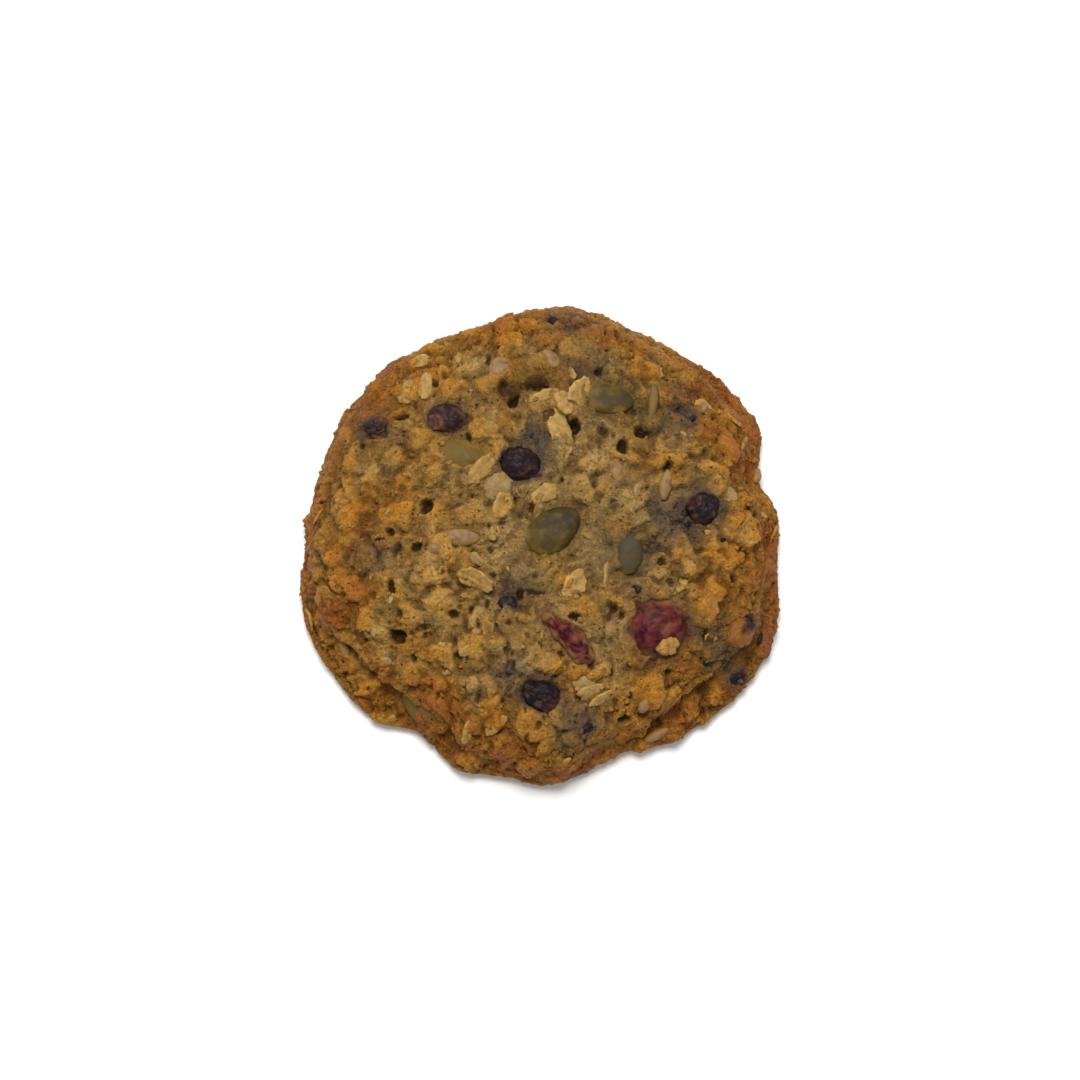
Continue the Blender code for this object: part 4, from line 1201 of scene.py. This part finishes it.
kernelFinish = {
    "skin": ((0.12, "#2A2B24"), (0.32, "#2E2610"), (0.50, "#3B2F10"), (0.80, "#5E4A17")),
    "dough": ("#806333", 0.7),
    "lineLight": (0.88, 1.10),
    "blotch": (0.35, 4.0, 0.6),
    "lines": (1.6, 3.0),
    "grain": (2.6, 4.0, 0.7),
    "rough": 0.55,
    "sheen": 0.15,
    "bump": (0.4, 0.2),
}


# Pumpkin kernel skin: a thin dark olive film, yellower towards one end, with faint lines along
# it and a film of dough towards its outline; almost matt.
def kernelSkin():
    material, tree, shader = newMaterial("pumpkinKernelSkin")
    spot = inMillimetres(tree)
    along = ownValue(tree, "along")
    blotch = noiseIn(tree, spot, *kernelFinish["blotch"])
    sway = calc(tree, "MULTIPLY_ADD", along, -0.16, blotch)
    sway = calc(tree, "ADD", sway, ownValue(tree, "yellow"))
    flat = addNode(tree, "CombineXYZ", {0: along, 1: ownValue(tree, "across")})
    drawnOut = addNode(tree, "Mapping", {"Scale": (0.6, 9.0, 1.0), "Vector": flat})
    lines = noiseIn(tree, drawnOut, *kernelFinish["lines"])
    lines = ranged(tree, lines, 0.3, 0.7, *kernelFinish["lineLight"])
    colour = times(tree, rampOf(tree, sway, kernelFinish["skin"]), lines)
    colour = filmed(tree, colour, *kernelFinish["dough"])
    dress(shader, kernelFinish, colour, noiseIn(tree, spot, *kernelFinish["grain"]))
    return material


blueberryFinish = {
    "skin": ((0.35, "#110A0D"), (0.55, "#1E1318"), (0.78, "#40333A")),
    "calyx": ("#6E433A", 0.75),
    "dough": "#5E4628",
    "brownedDough": "#80501F",
    "dust": (1.4, 6.0, 0.7),
    "rough": 0.46,
    "sheen": 0.12,
    "bump": (0.4, 0.15),
}


# Baked blueberry skin: almost black with a purple cast, dulled by bloom on its folds, reddish
# at the flower end.
def blueberrySkin():
    material, tree, shader = newMaterial("bakedBlueberrySkin")
    dust = noiseIn(tree, inMillimetres(tree), *blueberryFinish["dust"])
    high = calc(tree, "MULTIPLY_ADD", ownValue(tree, "fold"), 0.16, dust)
    red, most = blueberryFinish["calyx"]
    much = calc(tree, "MULTIPLY", ownValue(tree, "calyx"), most, use_clamp=True)
    colour = towards(tree, rampOf(tree, high, blueberryFinish["skin"]), red, much)
    dough = towards(tree, fromHex(blueberryFinish["dough"]), blueberryFinish["brownedDough"],
                    ownValue(tree, "browned"))
    dress(shader, blueberryFinish, filmed(tree, colour, dough, 0.92), dust)
    return material


cranberryFinish = {
    "skin": ((0.30, "#300A11"), (0.50, "#50161B"), (0.78, "#66302B")),
    "dough": ("#7A5632", 0.85),
    "blotch": (0.7, 5.0, 0.65),
    "grain": (3.0, 4.0),
    "rough": 0.48,
    "sheen": 0.10,
    "bump": (0.35, 0.15),
}


# Dried cranberry skin: sugared and baked, deep red in its folds and brownish on the ridges,
# slightly sticky.
def cranberrySkin():
    material, tree, shader = newMaterial("driedCranberrySkin")
    spot = inMillimetres(tree)
    blotch = noiseIn(tree, spot, *cranberryFinish["blotch"])
    high = calc(tree, "MULTIPLY_ADD", ownValue(tree, "fold"), 0.20, blotch)
    colour = filmed(tree, rampOf(tree, high, cranberryFinish["skin"]), *cranberryFinish["dough"])
    dress(shader, cranberryFinish, colour, noiseIn(tree, spot, *cranberryFinish["grain"]))
    return material


# Floor, light and camera

studio = {
    "floor": "#F2F2F0",
    "floorSize": 1.6,
    "floorGap": 0.02,  # mm under the cookie
    "skyStrength": 0.53,
    "lampSize": 0.45,
    "lampPower": 7.5,
    "lampPlace": (-0.03, 0.24, 0.82),
    "elevation": 78.0,  # degrees above the floor, in front of the -Y edge
    "distance": 0.560,
    "lens": 100.0,
    "aim": (0.0001, -0.0003, 0.008),
}


def makeStudio():
    half = studio["floorSize"] / 2
    corners = np.array([(-half, -half, 0), (half, -half, 0), (half, half, 0), (-half, half, 0)]) / mm
    floor = addMesh("paleFloor", corners - (0, 0, studio["floorGap"]), [(0, 1, 2, 3)])
    material, _, shader = newMaterial("paleFloorPaint")
    shader.inputs["Base Color"].default_value = fromHex(studio["floor"])
    shader.inputs["Roughness"].default_value = 0.9
    floor.data.materials.append(material)

    world = bpy.data.worlds.new("softStudio")
    world.use_nodes = True
    sky = world.node_tree.nodes["Background"]
    sky.inputs["Color"].default_value = (1, 1, 1, 1)
    sky.inputs["Strength"].default_value = studio["skyStrength"]
    scene = bpy.context.scene
    scene.world = world
    lamp = bpy.data.objects.new("softbox", bpy.data.lights.new("softbox", "AREA"))
    lamp.data.shape = "DISK"
    lamp.data.size = studio["lampSize"]
    lamp.data.energy = studio["lampPower"]
    lamp.location = studio["lampPlace"]
    lamp.rotation_euler = (-Vector(studio["lampPlace"])).to_track_quat("-Z", "Y").to_euler()
    scene.collection.objects.link(lamp)

    camera = bpy.data.objects.new("camera", bpy.data.cameras.new("camera"))
    camera.data.lens = studio["lens"]
    camera.data.sensor_width = 36.0
    camera.data.clip_start = 0.01
    up = math.radians(studio["elevation"])
    back = Vector((0, -math.cos(up), math.sin(up)))
    camera.location = Vector(studio["aim"]) + back * studio["distance"]
    camera.rotation_euler = (-back).to_track_quat("-Z", "Y").to_euler()
    scene.collection.objects.link(camera)
    scene.camera = camera
    scene.view_settings.view_transform = "Standard"


# Gives a piece its material and ties it to the part.
def settle(piece, material, slot, *nodes):
    piece.data.materials.append(material)
    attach(piece, "root")
    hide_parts(*nodes)


makeStudio()
print("studio: floor, light and camera")

doughMaterial = bakedOatDough()
oatMaterial = rolledOat()
crumbObject, crumbPoints, crumbOuts, crumbValues, crumbReady = crumbPiece()
settle(crumbObject, doughMaterial, "baked_dough", "cookie")
print("crumb:", len(crumbObject.data.polygons), "faces")

looseCrumbs = crumbsPiece(crumbPoints, crumbOuts, crumbValues, crumbReady)
settle(looseCrumbs, doughMaterial, "baked_dough", "cookie")
settle(flakesPiece(crumbPoints, crumbOuts), oatMaterial, "baked_dough", "cookie")
settle(sunflowerPiece(crumbPoints, crumbOuts), hulledSunflower(), "baked_dough", "cookie")
print("oat flakes and sunflower kernels")

blueberryMaterial = blueberrySkin()
settle(skinBitsPiece(crumbPoints, crumbOuts), blueberryMaterial, "blueberry_skin", "cookie")
for number, row in enumerate(blueberry["rows"], 1):
    settle(blueberryPiece(number, row), blueberryMaterial, "blueberry_skin", f"blueberry_{number}")
cranberryMaterial = cranberrySkin()
for number, row in enumerate(cranberry["rows"], 1):
    settle(cranberryPiece(number, row), cranberryMaterial, "cranberry_skin", f"cranberry_{number}")
settle(cranberryOatPiece(), oatMaterial, "baked_dough", "cranberry_1")
kernelMaterial = kernelSkin()
for number, row in enumerate(kernel["rows"], 1):
    settle(kernelPiece(number, row), kernelMaterial, "pumpkin_kernel_skin", f"pumpkin_kernel_{number}")
print("berries and pumpkin kernels")
